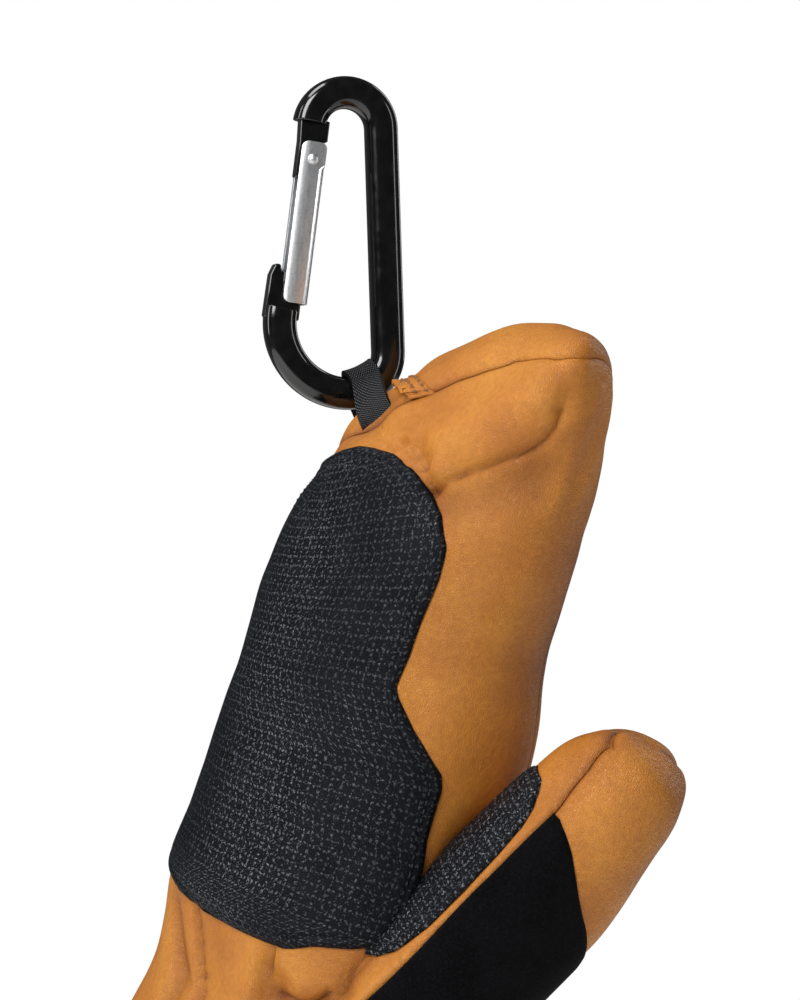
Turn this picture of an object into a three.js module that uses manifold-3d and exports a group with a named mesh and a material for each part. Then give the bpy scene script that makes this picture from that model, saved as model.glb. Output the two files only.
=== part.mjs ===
// Leather snowboard mitten for the right hand, hung by its fingertip loop from a small carabiner.
// Millimetres, +Z up. The carabiner lies in the XZ plane and the origin is the inner top of its arch.

import * as THREE from 'three';
import { ParametricGeometry } from 'three/addons/geometries/ParametricGeometry.js';
import { mergeVertices } from 'three/addons/utils/BufferGeometryUtils.js';
import Module from 'manifold-3d';

const wasm = await Module();
wasm.setup();

// Driving dimensions of the mitten
const WALL = 5; // leather outside, insulation inside
const SEAM_GAP = 0.3;
const PATCH_THICKNESS = 1.2;
const SECTION_SQUARENESS = 2.4;
const FINGER_SQUARENESS = 2.1;

// The wrist's centre, the turn of the whole mitten about the vertical and its lean, in degrees
const WRIST = new THREE.Vector3(-13, -7, -228);
const MITTEN_TURN = -14;
const MITTEN_POSE = { nod: 4, lean: 19, roll: -48 };

// The thumb's root on the hand and its two angles
const THUMB_ROOT = new THREE.Vector3(35.6, -3.5, -3.3);
const THUMB_POSE = { reach: -10.2, splay: 23.9 };

// Driving dimensions of the carabiner
const BAR_RADIUS = 4.25;
const ARCH_RADIUS = 9.6;
const SPINE_LEAN = 1.9; // how much further out the spine is at its foot
const BASKET_RADIUS = 18.2;
const CORNER_RADIUS = 10.7;
const BASKET_DEPTH = 74; // from the origin down to the bar's centre
const ARCH_END = 170; // degrees round the arch, where the bar turns flat
const TONGUE_THICKNESS = 4.4;

// The gate, a channel that is open on its outer side
const PIVOT = new THREE.Vector3(-9.2, 0, -13.5);
const GATE_LEAN = 7.3;
const GATE = { above: 4.6, below: 37.6, width: 6.6, depth: 7.2, wall: 0.8 };
const RIVET = { shank: 0.95, hole: 1.3, head: 1.45, headHeight: 0.7 };

// Outlines of the bar's two flat ends between the gate's walls, about the pivot: lug above, nose below
const LUG = [
  [-4.3, 10.4], [3.5, 10.4], [3.5, 5], [2.3, 4.6], [2.2, -1.8], [0.6, -3.2], [-1, -3.2], [-1.2, -5], [-3.9, -5],
  [-3.9, 4.6],
];
const NOSE = [
  [-7.4, -42], [1.8, -42], [1.8, -31], [0.6, -29.6], [-4.3, -29.6], [-4.6, -28], [-6.2, -28], [-7.2, -31],
];

// The webbing loop
const WEBBING = { width: 10, thickness: 1.3 };
const LOOP = { x: 4.8, z: -72.6, tilt: 20, leg: 24, halfDepth: 5.9, rise: 8.4, closed: 1.1 };

// Sections of the hand from the cuff's hem to the fingertips, about the wrist's centre:
// along the hand, side towards the thumb, rear towards the back, tilt and curl of the section,
// half its width, and its depth on the palm and on the back
const HAND_SECTIONS = [
  { along: -72, side: -6, rear: 0, tilt: 0, curl: 0, half: 50, palm: 34, back: 34 },
  { along: -38, side: -3, rear: 0, tilt: 0, curl: 0, half: 45, palm: 31, back: 31 },
  { along: -4, side: 0, rear: 0, tilt: 0, curl: 0, half: 42, palm: 29, back: 29 },
  { along: 25, side: 1, rear: 0, tilt: 0, curl: 0, half: 46, palm: 34, back: 28 },
  { along: 60, side: 0, rear: 0, tilt: -4, curl: 4, half: 45, palm: 35, back: 27 },
  { along: 92, side: 0, rear: -2, tilt: -10, curl: 12, half: 45, palm: 34, back: 27 },
  { along: 118, side: 2, rear: -6, tilt: -17, curl: 22, half: 48, palm: 32, back: 27 },
  { along: 138, side: 4, rear: -12, tilt: -23, curl: 34, half: 48, palm: 29, back: 26 },
  { along: 152, side: 7, rear: -19, tilt: -29, curl: 46, half: 46, palm: 23.5, back: 22.5 },
  { along: 161, side: 10, rear: -25, tilt: -31, curl: 55, half: 40, palm: 16, back: 16 },
  { along: 165.5, side: 11, rear: -28, tilt: -32, curl: 60, half: 15, palm: 4, back: 4 },
];

// Sections of the thumb from inside the hand to its tip
const THUMB_SECTIONS = [
  { along: -46, side: -15, rear: -2, tilt: 0, curl: 0, half: 9, palm: 13, back: 13 },
  { along: -22, side: -8.5, rear: -1, tilt: 0, curl: 0, half: 14, palm: 17, back: 17 },
  { along: 0, side: -3, rear: 0, tilt: 0, curl: 0, half: 18.5, palm: 20, back: 20 },
  { along: 22, side: 0, rear: 0, tilt: 0, curl: 0, half: 21, palm: 21, back: 21 },
  { along: 45, side: 0, rear: 0, tilt: 0, curl: 0, half: 20, palm: 20, back: 20 },
  { along: 75, side: 0, rear: 0, tilt: 0, curl: 0, half: 19.5, palm: 19.5, back: 19.5 },
  { along: 94, side: 0, rear: 0, tilt: 0, curl: 0, half: 18, palm: 17.5, back: 18 },
  { along: 105, side: 0, rear: 0, tilt: 0, curl: 0, half: 13, palm: 12.5, back: 13 },
  { along: 109, side: 0, rear: 0, tilt: 0, curl: 0, half: 2, palm: 2, back: 2 },
];

// Folds of the leather: a straight run over the hand from one place to another (along in mm,
// angle in degrees from the thumb's side round the back), its width, and its height or depth
const FOLDS = [
  { along: 157, angle: 240, toAlong: 156, toAngle: 325, width: 8, height: 2.2 },
  { along: 146, angle: 284, toAlong: 147, toAngle: 330, width: 6, height: -2.2 },
  { along: 156, angle: 262, toAlong: 144, toAngle: 283, width: 5, height: -1.8 },
  { along: 8, angle: 226, toAlong: -26, toAngle: 232, width: 6, height: -2.4 },
  { along: 8, angle: 292, toAlong: -26, toAngle: 294, width: 6, height: -2.6 },
  { along: 0, angle: 245, toAlong: -20, toAngle: 275, width: 12, height: 1.6 },
  { along: 2, angle: 302, toAlong: 0, toAngle: 330, width: 6, height: -2 },
  { along: -6, angle: 20, toAlong: -6, toAngle: 200, width: 7, height: -2 },
];

// Seam between palm and back: the back panel's two edges, and how far it reaches over the tip
const BACK_SEAM = [
  { along: -72, from: 24, to: 156, over: 0 },
  { along: 138, from: 24, to: 160, over: 0 },
  { along: 152, from: 20, to: 168, over: 0 },
  { along: 159.4, from: -6, to: 183, over: 1.5 },
  { along: 161, from: -17, to: 186, over: 2 },
  { along: 165, from: -27, to: 200, over: 4 },
];
const THUMB_SEAM = [
  { along: -46, from: -75, to: 104, over: 0 },
  { along: 109, from: -75, to: 104, over: 0 },
];

// Outlines of the patches: at each place along, the angle where the patch begins and ends
const PALM_PATCH = [
  { along: 14, from: 214, to: 288 },
  { along: 20, from: 204, to: 318 },
  { along: 27, from: 200, to: 335 },
  { along: 56, from: 198, to: 338 },
  { along: 70, from: 196, to: 336 },
  { along: 87, from: 194, to: 308 },
  { along: 117, from: 190, to: 301 },
  { along: 128, from: 188, to: 301 },
  { along: 147, from: 188, to: 280 },
  { along: 157, from: 192, to: 262 },
  { along: 160, from: 200, to: 236 },
];
const GRIP_PATCH = [
  { along: 24, from: 254, to: 268 },
  { along: 41, from: 238, to: 279 },
  { along: 67, from: 240, to: 279 },
  { along: 78, from: 247, to: 274 },
  { along: 85, from: 249, to: 256 },
];
const WIPE_PATCH = [
  { along: 6, from: 289, to: 399 },
  { along: 50, from: 287, to: 400 },
  { along: 59, from: 287, to: 398 },
  { along: 77, from: 286, to: 324 },
  { along: 82, from: 286, to: 299 },
];

// Colours, roughness and metalness
const tanLeather = new THREE.MeshStandardMaterial({ color: 0xc08540, roughness: 0.55, metalness: 0 });
const gripLeather = new THREE.MeshStandardMaterial({ color: 0x23262c, roughness: 0.5, metalness: 0 });
const suede = new THREE.MeshStandardMaterial({ color: 0x0c0c0f, roughness: 0.95, metalness: 0 });
const webbing = new THREE.MeshStandardMaterial({ color: 0x121214, roughness: 0.8, metalness: 0 });
const blackMetal = new THREE.MeshStandardMaterial({ color: 0x0b0b0c, roughness: 0.25, metalness: 0.4 });
const brightMetal = new THREE.MeshStandardMaterial({ color: 0xc9cbce, roughness: 0.35, metalness: 1 });

const rad = THREE.MathUtils.degToRad;

// Row of a table at a place along it, with every column run smoothly through its neighbours
function smoothRow(rows, place) {
  const last = rows.length - 1;
  const index = Math.min(Math.floor(place), last - 1);
  const near = (step) => rows[THREE.MathUtils.clamp(index + step, 0, last)];
  const f = place - index;
  const row = {};
  for (const key of Object.keys(rows[0])) {
    const [a, b, c, d] = [near(-1)[key], near(0)[key], near(1)[key], near(2)[key]];
    const bend = (2 * a - 5 * b + 4 * c - d) * f * f + (3 * b - a - 3 * c + d) * f * f * f;
    row[key] = b + 0.5 * ((c - a) * f + bend);
  }
  return row;
}

// Row of a table at a distance along, with every column run straight between its neighbours
function straightRow(rows, along) {
  let index = rows.findIndex((row) => row.along >= along);
  index = THREE.MathUtils.clamp(index, 1, rows.length - 1);
  const [before, after] = [rows[index - 1], rows[index]];
  const f = THREE.MathUtils.clamp((along - before.along) / (after.along - before.along), 0, 1);
  const row = {};
  for (const key of Object.keys(before)) row[key] = THREE.MathUtils.lerp(before[key], after[key], f);
  return row;
}

// Height of the folds at a place on the hand
function foldHeight(along, angle) {
  const perDegree = 0.62; // mm round the hand for each degree
  const around = (from, to) => (THREE.MathUtils.euclideanModulo(to - from + 180, 360) - 180) * perDegree;
  let height = 0;
  for (const fold of FOLDS) {
    const run = new THREE.Vector2(fold.toAlong - fold.along, around(fold.angle, fold.toAngle));
    const here = new THREE.Vector2(along - fold.along, around(fold.angle, angle));
    const share = THREE.MathUtils.clamp(here.dot(run) / run.lengthSq(), 0, 1);
    const distance = here.distanceTo(run.clone().multiplyScalar(share));
    height += fold.height * Math.exp(-((distance / fold.width) ** 2));
  }
  return height;
}

// A skin run through a table of sections
function makeSkin(rows, squareness, folded) {
  const power = 2 / squareness;
  const placeOf = (along) => {
    let [low, high] = [0, rows.length - 1];
    for (let step = 0; step < 24; step += 1) {
      const middle = (low + high) / 2;
      if (smoothRow(rows, middle).along < along) low = middle;
      else high = middle;
    }
    return (low + high) / 2;
  };
  // A point on the section, a distance outside the skin and past the section's plane
  const point = (place, angle, out, past = 0) => {
    const row = smoothRow(rows, place);
    const lift = out + (folded ? foldHeight(row.along, angle) : 0);
    const [c, s] = [Math.cos(rad(angle)), Math.sin(rad(angle))];
    const x = (row.half + lift) * Math.sign(c) * Math.abs(c) ** power;
    const y = ((s < 0 ? row.palm : row.back) + lift) * Math.sign(s) * Math.abs(s) ** power;
    return onSection(row, x, y, past);
  };
  const onSection = (row, x, y, past) => {
    const turn = new THREE.Euler(rad(row.curl), rad(row.tilt), 0, 'YXZ');
    return new THREE.Vector3(x, y, past).applyEuler(turn).add(new THREE.Vector3(row.side, row.rear, row.along));
  };
  const inner = (place, x, y, past = 0) => onSection(smoothRow(rows, place), x, y, past);
  const alongOf = (place) => smoothRow(rows, place).along;
  return { point, inner, placeOf, alongOf, top: rows.length - 1 };
}

const handSkin = makeSkin(HAND_SECTIONS, SECTION_SQUARENESS, true);
const thumbSkin = makeSkin(THUMB_SECTIONS, FINGER_SQUARENESS, false);

// Solids, and the geometry of a solid
function solidOf(geometry) {
  geometry.deleteAttribute('normal');
  geometry.deleteAttribute('uv');
  const merged = mergeVertices(geometry, 1e-4);
  const corners = merged.index.array;
  const kept = [];
  for (let i = 0; i < corners.length; i += 3) {
    const [a, b, c] = corners.subarray(i, i + 3);
    if (a !== b && b !== c && c !== a) kept.push(a, b, c);
  }
  return new wasm.Manifold(new wasm.Mesh({
    numProp: 3,
    vertProperties: new Float32Array(merged.attributes.position.array),
    triVerts: new Uint32Array(kept),
  }));
}

function geometryOf(solid) {
  const mesh = solid.getMesh();
  const geometry = new THREE.BufferGeometry();
  geometry.setAttribute('position', new THREE.BufferAttribute(mesh.vertProperties, 3));
  geometry.setIndex(new THREE.BufferAttribute(mesh.triVerts, 1));
  geometry.computeVertexNormals();
  return geometry;
}

// A closed body between two places of a skin; first and last stack close it at the section's centre
function body(skin, from, to, out, slices, stacks) {
  const shape = (u, v, target) => {
    const stack = Math.round(v * stacks);
    const place = THREE.MathUtils.clamp(from + ((stack - 1) / (stacks - 2)) * (to - from), from, to);
    const closing = stack === 0 || stack === stacks;
    target.copy(closing ? skin.inner(place, 0, 0) : skin.point(place, 360 * u, out));
  };
  return solidOf(new ParametricGeometry(shape, slices, stacks));
}

// A thick block that follows an outline over a skin, to cut a patch out of a layer
function outlineBlock(skin, outline, cells, stacks) {
  const [inside, outside] = [-3, 5];
  const slices = 2 * cells + 2;
  const [low, high] = [outline[0].along, outline[outline.length - 1].along];
  const shape = (u, v, target) => {
    const stack = THREE.MathUtils.clamp(Math.round(v * stacks) - 1, 0, stacks - 2);
    const ending = Math.round(v * stacks) % stacks === 0;
    const along = THREE.MathUtils.lerp(low, high, stack / (stacks - 2));
    const edges = straightRow(outline, along);
    const slice = Math.round(u * slices) % slices;
    const onTop = slice <= cells;
    const share = onTop ? slice / cells : (slices - 1 - slice) / cells;
    const level = ending ? 0.5 : Number(onTop);
    const angle = THREE.MathUtils.lerp(edges.from, edges.to, share);
    target.copy(skin.point(skin.placeOf(along), angle, THREE.MathUtils.lerp(inside, outside, level)));
  };
  return solidOf(new ParametricGeometry(shape, slices, stacks));
}

// The part of a skin's inside and surroundings that lies between two seams
function seamRegion(skin, seams, gap, cells, stacks) {
  const reach = 8;
  const gapAngle = gap * 1.6;
  const shape = (u, v, target) => {
    const stack = Math.round(v * stacks);
    const place = THREE.MathUtils.clamp(((stack - 2) / (stacks - 4)) * skin.top, 0, skin.top);
    const past = reach * (Number(stack >= stacks - 1) - Number(stack <= 1));
    const edges = straightRow(seams, skin.alongOf(place));
    const slice = Math.round(u * (cells + 1)) % (cells + 1);
    const apex = skin.inner(place, 0, -edges.over - gap, past);
    const angle = THREE.MathUtils.lerp(edges.from - gapAngle, edges.to + gapAngle, (slice - 1) / (cells - 1));
    const atApex = slice === 0 || stack === 0 || stack === stacks;
    target.copy(atApex ? apex : skin.point(place, angle, reach, past));
  };
  return solidOf(new ParametricGeometry(shape, cells + 1, stacks));
}

// The thumb's solids are placed in the hand's frame
const thumbFrame = new THREE.Matrix4()
  .makeRotationFromEuler(new THREE.Euler(rad(THUMB_POSE.reach), rad(THUMB_POSE.splay), 0, 'XYZ'))
  .setPosition(THUMB_ROOT);

function moved(solid, matrix) {
  return solidOf(geometryOf(solid).applyMatrix4(matrix));
}

// Hand: outer form, hollow, and the outer form grown to cut what lies against it
function handForm(out) {
  return body(handSkin, 0, handSkin.top, out, 36, 34);
}
function thumbForm(out) {
  return moved(body(thumbSkin, 0, thumbSkin.top, out, 24, 16), thumbFrame);
}
const handHollow = body(handSkin, 0, handSkin.placeOf(161), -WALL, 22, 16)
  .add(body(handSkin, 0, 0.5, -WALL, 22, 4).translate(0, 0, -6));
const thumbHollow = moved(body(thumbSkin, 0, thumbSkin.placeOf(104), -WALL, 16, 10), thumbFrame);

const handShell = handForm(0).subtract(handHollow).subtract(thumbHollow);
const thumbShell = thumbForm(0).subtract(thumbHollow).subtract(handForm(SEAM_GAP));

function handPanels() {
  const back = handShell.intersect(seamRegion(handSkin, BACK_SEAM, 0, 18, 24));
  const palm = handShell.subtract(seamRegion(handSkin, BACK_SEAM, SEAM_GAP, 18, 24));
  return { back, palm };
}

function thumbPanels() {
  const cut = (gap) => moved(seamRegion(thumbSkin, THUMB_SEAM, gap, 18, 12), thumbFrame);
  return { outer: thumbShell.intersect(cut(0)), inner: thumbShell.subtract(cut(SEAM_GAP)) };
}

// Patches sewn over the leather
function palmPatch() {
  const layer = handForm(SEAM_GAP + PATCH_THICKNESS).subtract(handForm(SEAM_GAP));
  return layer.intersect(outlineBlock(handSkin, PALM_PATCH, 8, 16)).subtract(thumbForm(SEAM_GAP));
}

function thumbPatch(outline, clearance) {
  const layer = thumbForm(SEAM_GAP + PATCH_THICKNESS).subtract(thumbForm(SEAM_GAP));
  const block = moved(outlineBlock(thumbSkin, outline, 8, 12), thumbFrame);
  return layer.intersect(block).subtract(handForm(clearance));
}

// Carabiner bar: basket from the gate's nose round the corner, up the spine and over the arch
function barCurve() {
  const points = [];
  const arc = (x, z, radius, from, to, steps) => {
    for (let i = 0; i <= steps; i += 1) {
      const angle = rad(THREE.MathUtils.lerp(from, to, i / steps));
      points.push(new THREE.Vector3(x + radius * Math.cos(angle), 0, z + radius * Math.sin(angle)));
    }
  };
  const archHeight = BAR_RADIUS - ARCH_RADIUS;
  const footX = ARCH_RADIUS + SPINE_LEAN;
  const basketX = footX - CORNER_RADIUS;
  arc(basketX, BASKET_RADIUS - BASKET_DEPTH, BASKET_RADIUS, 168, 270, 9);
  arc(basketX, CORNER_RADIUS - BASKET_DEPTH, CORNER_RADIUS, 285, 360, 6);
  for (const share of [0.25, 0.5, 0.75]) {
    const z = THREE.MathUtils.lerp(CORNER_RADIUS - BASKET_DEPTH, archHeight, share);
    points.push(new THREE.Vector3(footX - SPINE_LEAN * share, 0, z));
  }
  arc(0, archHeight, ARCH_RADIUS, 0, ARCH_END, 12);
  return new THREE.CatmullRomCurve3(points, false, 'centripetal');
}

// A flat outline in the XZ plane, given thickness along Y about the plane
function plate(corners, thickness) {
  const outline = new THREE.Shape(corners.map(([x, z]) => new THREE.Vector2(x, z)));
  const geometry = new THREE.ExtrudeGeometry(outline, { depth: thickness, bevelEnabled: false });
  return solidOf(geometry.rotateX(Math.PI / 2).translate(0, thickness / 2, 0));
}

// A pin along Y
function pin(radius, length) {
  return solidOf(new THREE.CylinderGeometry(radius, radius, length, 16));
}

const gateFrame = new THREE.Matrix4().makeRotationY(rad(GATE_LEAN)).setPosition(PIVOT);

function carabinerBody() {
  const section = new THREE.Shape().absarc(0, 0, BAR_RADIUS, 0, 2 * Math.PI);
  const bar = new THREE.ExtrudeGeometry(section, {
    curveSegments: 6, steps: 46, bevelEnabled: false, extrudePath: barCurve(),
  });
  const lug = plate(LUG, TONGUE_THICKNESS);
  const nose = plate(NOSE, TONGUE_THICKNESS);
  const hole = pin(RIVET.hole, TONGUE_THICKNESS + 2);
  const tongues = moved(lug.subtract(hole).add(nose), gateFrame);
  return solidOf(bar).add(tongues);
}

// Gate: ears round the rivet, a closed inner side below it
function carabinerGate() {
  const { above, below, width, depth, wall } = GATE;
  const half = width / 2;
  const block = plate([[-half, above], [half, above], [half, -below], [-half, -below]], depth);
  const slot = plate([[-half - 1, above + 1], [half - wall, above + 1],
    [half - wall, -below - 1], [-half - 1, -below - 1]], depth - 2 * wall);
  const relief = plate([[0, above + 1], [half + 1, above + 1], [half + 1, -2.4], [0, -2.4]], depth - 2 * wall);
  return block.subtract(slot).subtract(relief).subtract(pin(RIVET.hole, depth + 2));
}

// Rivet: a shank with a domed head at each end
function gateRivet() {
  const inside = GATE.depth / 2 + SEAM_GAP;
  const profile = [new THREE.Vector2(0, -inside - RIVET.headHeight)];
  for (const share of [0.5, 1]) {
    const angle = share * Math.PI / 2;
    profile.push(new THREE.Vector2(RIVET.head * Math.sin(angle), -inside - RIVET.headHeight * Math.cos(angle)));
  }
  profile.push(new THREE.Vector2(RIVET.shank, -inside));
  const mirrored = profile.map((point) => new THREE.Vector2(point.x, -point.y)).reverse();
  return solidOf(new THREE.LatheGeometry([...profile, ...mirrored], 16));
}

// Webbing loop: the strap's middle line, over the bar and down to the tip seam on both sides
function loopCurve() {
  const leg = [[LOOP.closed, -LOOP.leg], [LOOP.closed + 1.2, -LOOP.leg * 0.66], [LOOP.halfDepth - 0.6, -7]];
  const front = leg.map(([y, z]) => new THREE.Vector2(-y, z));
  const rear = leg.map(([y, z]) => new THREE.Vector2(y, z)).reverse();
  const over = [180, 150, 120, 90, 60, 30, 0].map((angle) => (
    new THREE.Vector2(LOOP.halfDepth * Math.cos(rad(angle)), LOOP.rise * Math.sin(rad(angle)))
  ));
  return [...front, ...over, ...rear];
}

// Band of constant thickness about a line of points
function band(line, thickness) {
  const side = (sign) => line.map((point, i) => {
    const along = line[Math.min(i + 1, line.length - 1)].clone().sub(line[Math.max(i - 1, 0)]).normalize();
    return new THREE.Vector2(point.x - sign * along.y * thickness / 2, point.y + sign * along.x * thickness / 2);
  });
  return new THREE.Shape([...side(1), ...side(-1).reverse()]);
}

function hangLoop(mittenFrame) {
  const strap = new THREE.ExtrudeGeometry(band(loopCurve(), WEBBING.thickness), {
    depth: WEBBING.width, bevelEnabled: false,
  });
  strap.translate(0, 0, -WEBBING.width / 2).rotateX(Math.PI / 2).rotateZ(Math.PI / 2);
  strap.rotateY(-rad(LOOP.tilt)).translate(LOOP.x, 0, LOOP.z);
  return solidOf(strap).subtract(moved(handForm(SEAM_GAP), mittenFrame));
}

// Assembly
const part = new THREE.Group();
const mittenTurn = new THREE.Group();
mittenTurn.rotation.z = rad(MITTEN_TURN);
part.add(mittenTurn);
const mitten = new THREE.Group();
mitten.position.copy(WRIST);
mitten.rotation.set(rad(MITTEN_POSE.nod), rad(MITTEN_POSE.lean), rad(MITTEN_POSE.roll), 'XYZ');
mittenTurn.add(mitten);
part.updateMatrixWorld(true);
const gateLine = new THREE.Group();
gateLine.position.copy(PIVOT);
gateLine.rotation.y = rad(GATE_LEAN);
part.add(gateLine);

function addMesh(group, name, solid, material) {
  const mesh = new THREE.Mesh(geometryOf(solid), material);
  mesh.name = name;
  group.add(mesh);
}

const hand = handPanels();
const thumb = thumbPanels();
addMesh(mitten, 'back_panel', hand.back, tanLeather);
addMesh(mitten, 'palm_panel', hand.palm, tanLeather);
addMesh(mitten, 'thumb_outer_panel', thumb.outer, tanLeather);
addMesh(mitten, 'thumb_inner_panel', thumb.inner, tanLeather);
addMesh(mitten, 'palm_patch', palmPatch(), gripLeather);
addMesh(mitten, 'thumb_grip_patch', thumbPatch(GRIP_PATCH, 2 * SEAM_GAP + PATCH_THICKNESS), gripLeather);
addMesh(mitten, 'thumb_wipe_patch', thumbPatch(WIPE_PATCH, SEAM_GAP), suede);
addMesh(part, 'hang_loop', hangLoop(mitten.matrixWorld), webbing);
addMesh(part, 'carabiner_body', carabinerBody(), blackMetal);
addMesh(gateLine, 'carabiner_gate', carabinerGate(), brightMetal);
addMesh(gateLine, 'gate_rivet', gateRivet(), brightMetal);

export default part;
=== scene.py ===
from math import cos, pi, radians, sin

import bpy
import numpy as np
from mathutils import Matrix, Vector
from mathutils.kdtree import KDTree


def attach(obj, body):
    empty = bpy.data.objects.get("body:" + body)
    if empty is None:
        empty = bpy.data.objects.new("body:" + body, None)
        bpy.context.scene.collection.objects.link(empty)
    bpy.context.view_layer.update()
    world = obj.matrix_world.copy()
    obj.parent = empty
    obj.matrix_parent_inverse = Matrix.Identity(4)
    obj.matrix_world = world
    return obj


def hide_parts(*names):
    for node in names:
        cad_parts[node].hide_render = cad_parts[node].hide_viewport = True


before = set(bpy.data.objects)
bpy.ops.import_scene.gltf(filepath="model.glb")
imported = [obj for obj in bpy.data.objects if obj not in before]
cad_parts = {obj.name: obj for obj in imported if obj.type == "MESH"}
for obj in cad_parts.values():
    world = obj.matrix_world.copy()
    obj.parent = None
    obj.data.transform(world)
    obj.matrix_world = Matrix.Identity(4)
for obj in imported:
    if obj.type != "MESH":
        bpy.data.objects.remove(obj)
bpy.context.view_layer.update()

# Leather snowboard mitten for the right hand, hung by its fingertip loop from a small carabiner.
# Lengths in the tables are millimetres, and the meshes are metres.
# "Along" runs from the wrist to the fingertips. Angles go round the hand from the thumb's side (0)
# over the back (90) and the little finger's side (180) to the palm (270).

MM = 0.001
chance = np.random.RandomState(7)

# Camera: level, at the photograph's angle, 1 m in front of the carabiner
CAMERA_TURN = radians(-14)
CAMERA_PLACE = (14.3, -1000.0, -101.66)
PHOTO_HEIGHT_AT_CAMERA_DISTANCE = 260.0
SENSOR = 36.0

# Mitten: place and turn in the carabiner's frame
WRIST = (-13, -7, -228)
MITTEN_TURN = radians(-14)
MITTEN_NOD, MITTEN_LEAN, MITTEN_ROLL = radians(4), radians(19), radians(-48)
THUMB_ROOT = (35.6, -3.5, -3.3)
THUMB_REACH, THUMB_SPLAY = radians(-10.2), radians(23.9)
WALL = 4.5

# along, side, rear, tilt, curl, half width, depth on the palm, depth on the back
HAND = np.array([
    [-72, -6, 0, 0, 0, 50, 34, 34],
    [-38, -3, 0, 0, 0, 45, 31, 31],
    [-4, 0, 0, 0, 0, 42, 29, 29],
    [25, 1, 0, 0, 0, 46, 34, 28],
    [60, 0, 0, -4, 4, 45, 35, 27],
    [92, 0, -2, -10, 12, 45, 34, 27],
    [118, 2, -6, -17, 22, 48, 32, 27],
    [138, 4, -12, -23, 34, 48, 29, 26],
    [152, 7, -19, -29, 46, 46, 23.5, 22.5],
    [161, 10, -25, -31, 55, 40, 16, 16],
    [165.5, 11, -28, -32, 60, 15, 4, 4],
], float)
THUMB = np.array([
    [-46, -15, -2, 0, 0, 9, 13, 13],
    [-22, -8.5, -1, 0, 0, 14, 17, 17],
    [0, -3, 0, 0, 0, 18.5, 20, 20],
    [22, 0, 0, 0, 0, 21, 21, 21],
    [45, 0, 0, 0, 0, 20, 20, 20],
    [75, 0, 0, 0, 0, 19.5, 19.5, 19.5],
    [94, 0, 0, 0, 0, 18, 17.5, 18],
    [105, 0, 0, 0, 0, 13, 12.5, 13],
    [109, 0, 0, 0, 0, 2, 2, 2],
], float)
# How square the sections are: 2 is an ellipse
HAND_SQUARE, THUMB_SQUARE = 2.4, 2.1

# along, first angle and last angle of the back panel; the palm panel is the rest of the way round
BACK_SEAM = np.array([
    [-72, 24, 156], [138, 24, 160], [151, 17, 167], [154.2, 9, 172], [157.9, -4, 180], [159.9, -13, 184],
    [161.3, -19, 187], [165, -27, 200],
], float)
TIP_SEAM_ALONG = 164.3
# Tip seam: angle, and place in the table of sections, since it wanders across the rounded tip
TIP_SEAM = np.array([
    [186, 9.64], [200, 9.69], [217, 9.84], [250, 9.93], [273, 9.95], [289, 9.89], [308, 9.8], [321, 9.7],
    [332, 9.62], [334, 9.62],
], float)
THUMB_SEAM = np.array([
    [-46, -75, 104], [30, -73.5, 104], [80, -73.5, 104], [84, -76.5, 104], [88, -80.5, 104], [96, -87, 103],
    [103.6, -99, 100], [105, -122, 98], [106.4, -145, 96], [109, -160, 90],
], float)

# along, first angle and last angle of each patch
PALM_PATCH = np.array([
    [14.9, 254, 268], [15.6, 247, 285], [16.3, 238, 294], [17, 230, 298], [18.8, 219, 303], [20, 214, 306],
    [22.6, 207, 320], [26, 203, 334], [30, 200, 338], [45.6, 199, 340], [52.7, 198, 338], [64.9, 197, 338],
    [68.3, 196, 336], [71.6, 196, 330], [78.3, 195.5, 319], [85.7, 195, 309], [88.2, 195, 307],
    [96.9, 194, 307], [107.6, 193, 305], [117.3, 192, 304], [123.1, 191, 302.5], [126.8, 190, 301],
    [137.4, 187, 291], [144.8, 185, 281.5], [150.8, 184, 274], [156.1, 189, 267], [157.9, 193, 263],
    [159, 199, 258], [160.2, 209, 250], [160.8, 217, 243], [161.1, 223, 236],
], float)
GRIP_STRIP = np.array([
    [22, 240, 256], [25, 236, 266], [30, 230, 273], [41, 224, 279], [54, 222, 280], [67, 222, 278],
    [75, 223, 275.5], [80, 225, 270], [83.5, 228, 262], [85.3, 232, 254],
], float)
WIPE_PATCH = np.array([
    [6, 287, 399], [50, 285, 400], [55, 285, 400], [60, 285, 388], [66, 285, 367], [72, 285, 344],
    [76.5, 285, 328], [80, 285, 315], [82, 285, 304], [83.2, 285, 294], [83.6, 285.5, 290],
], float)

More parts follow.
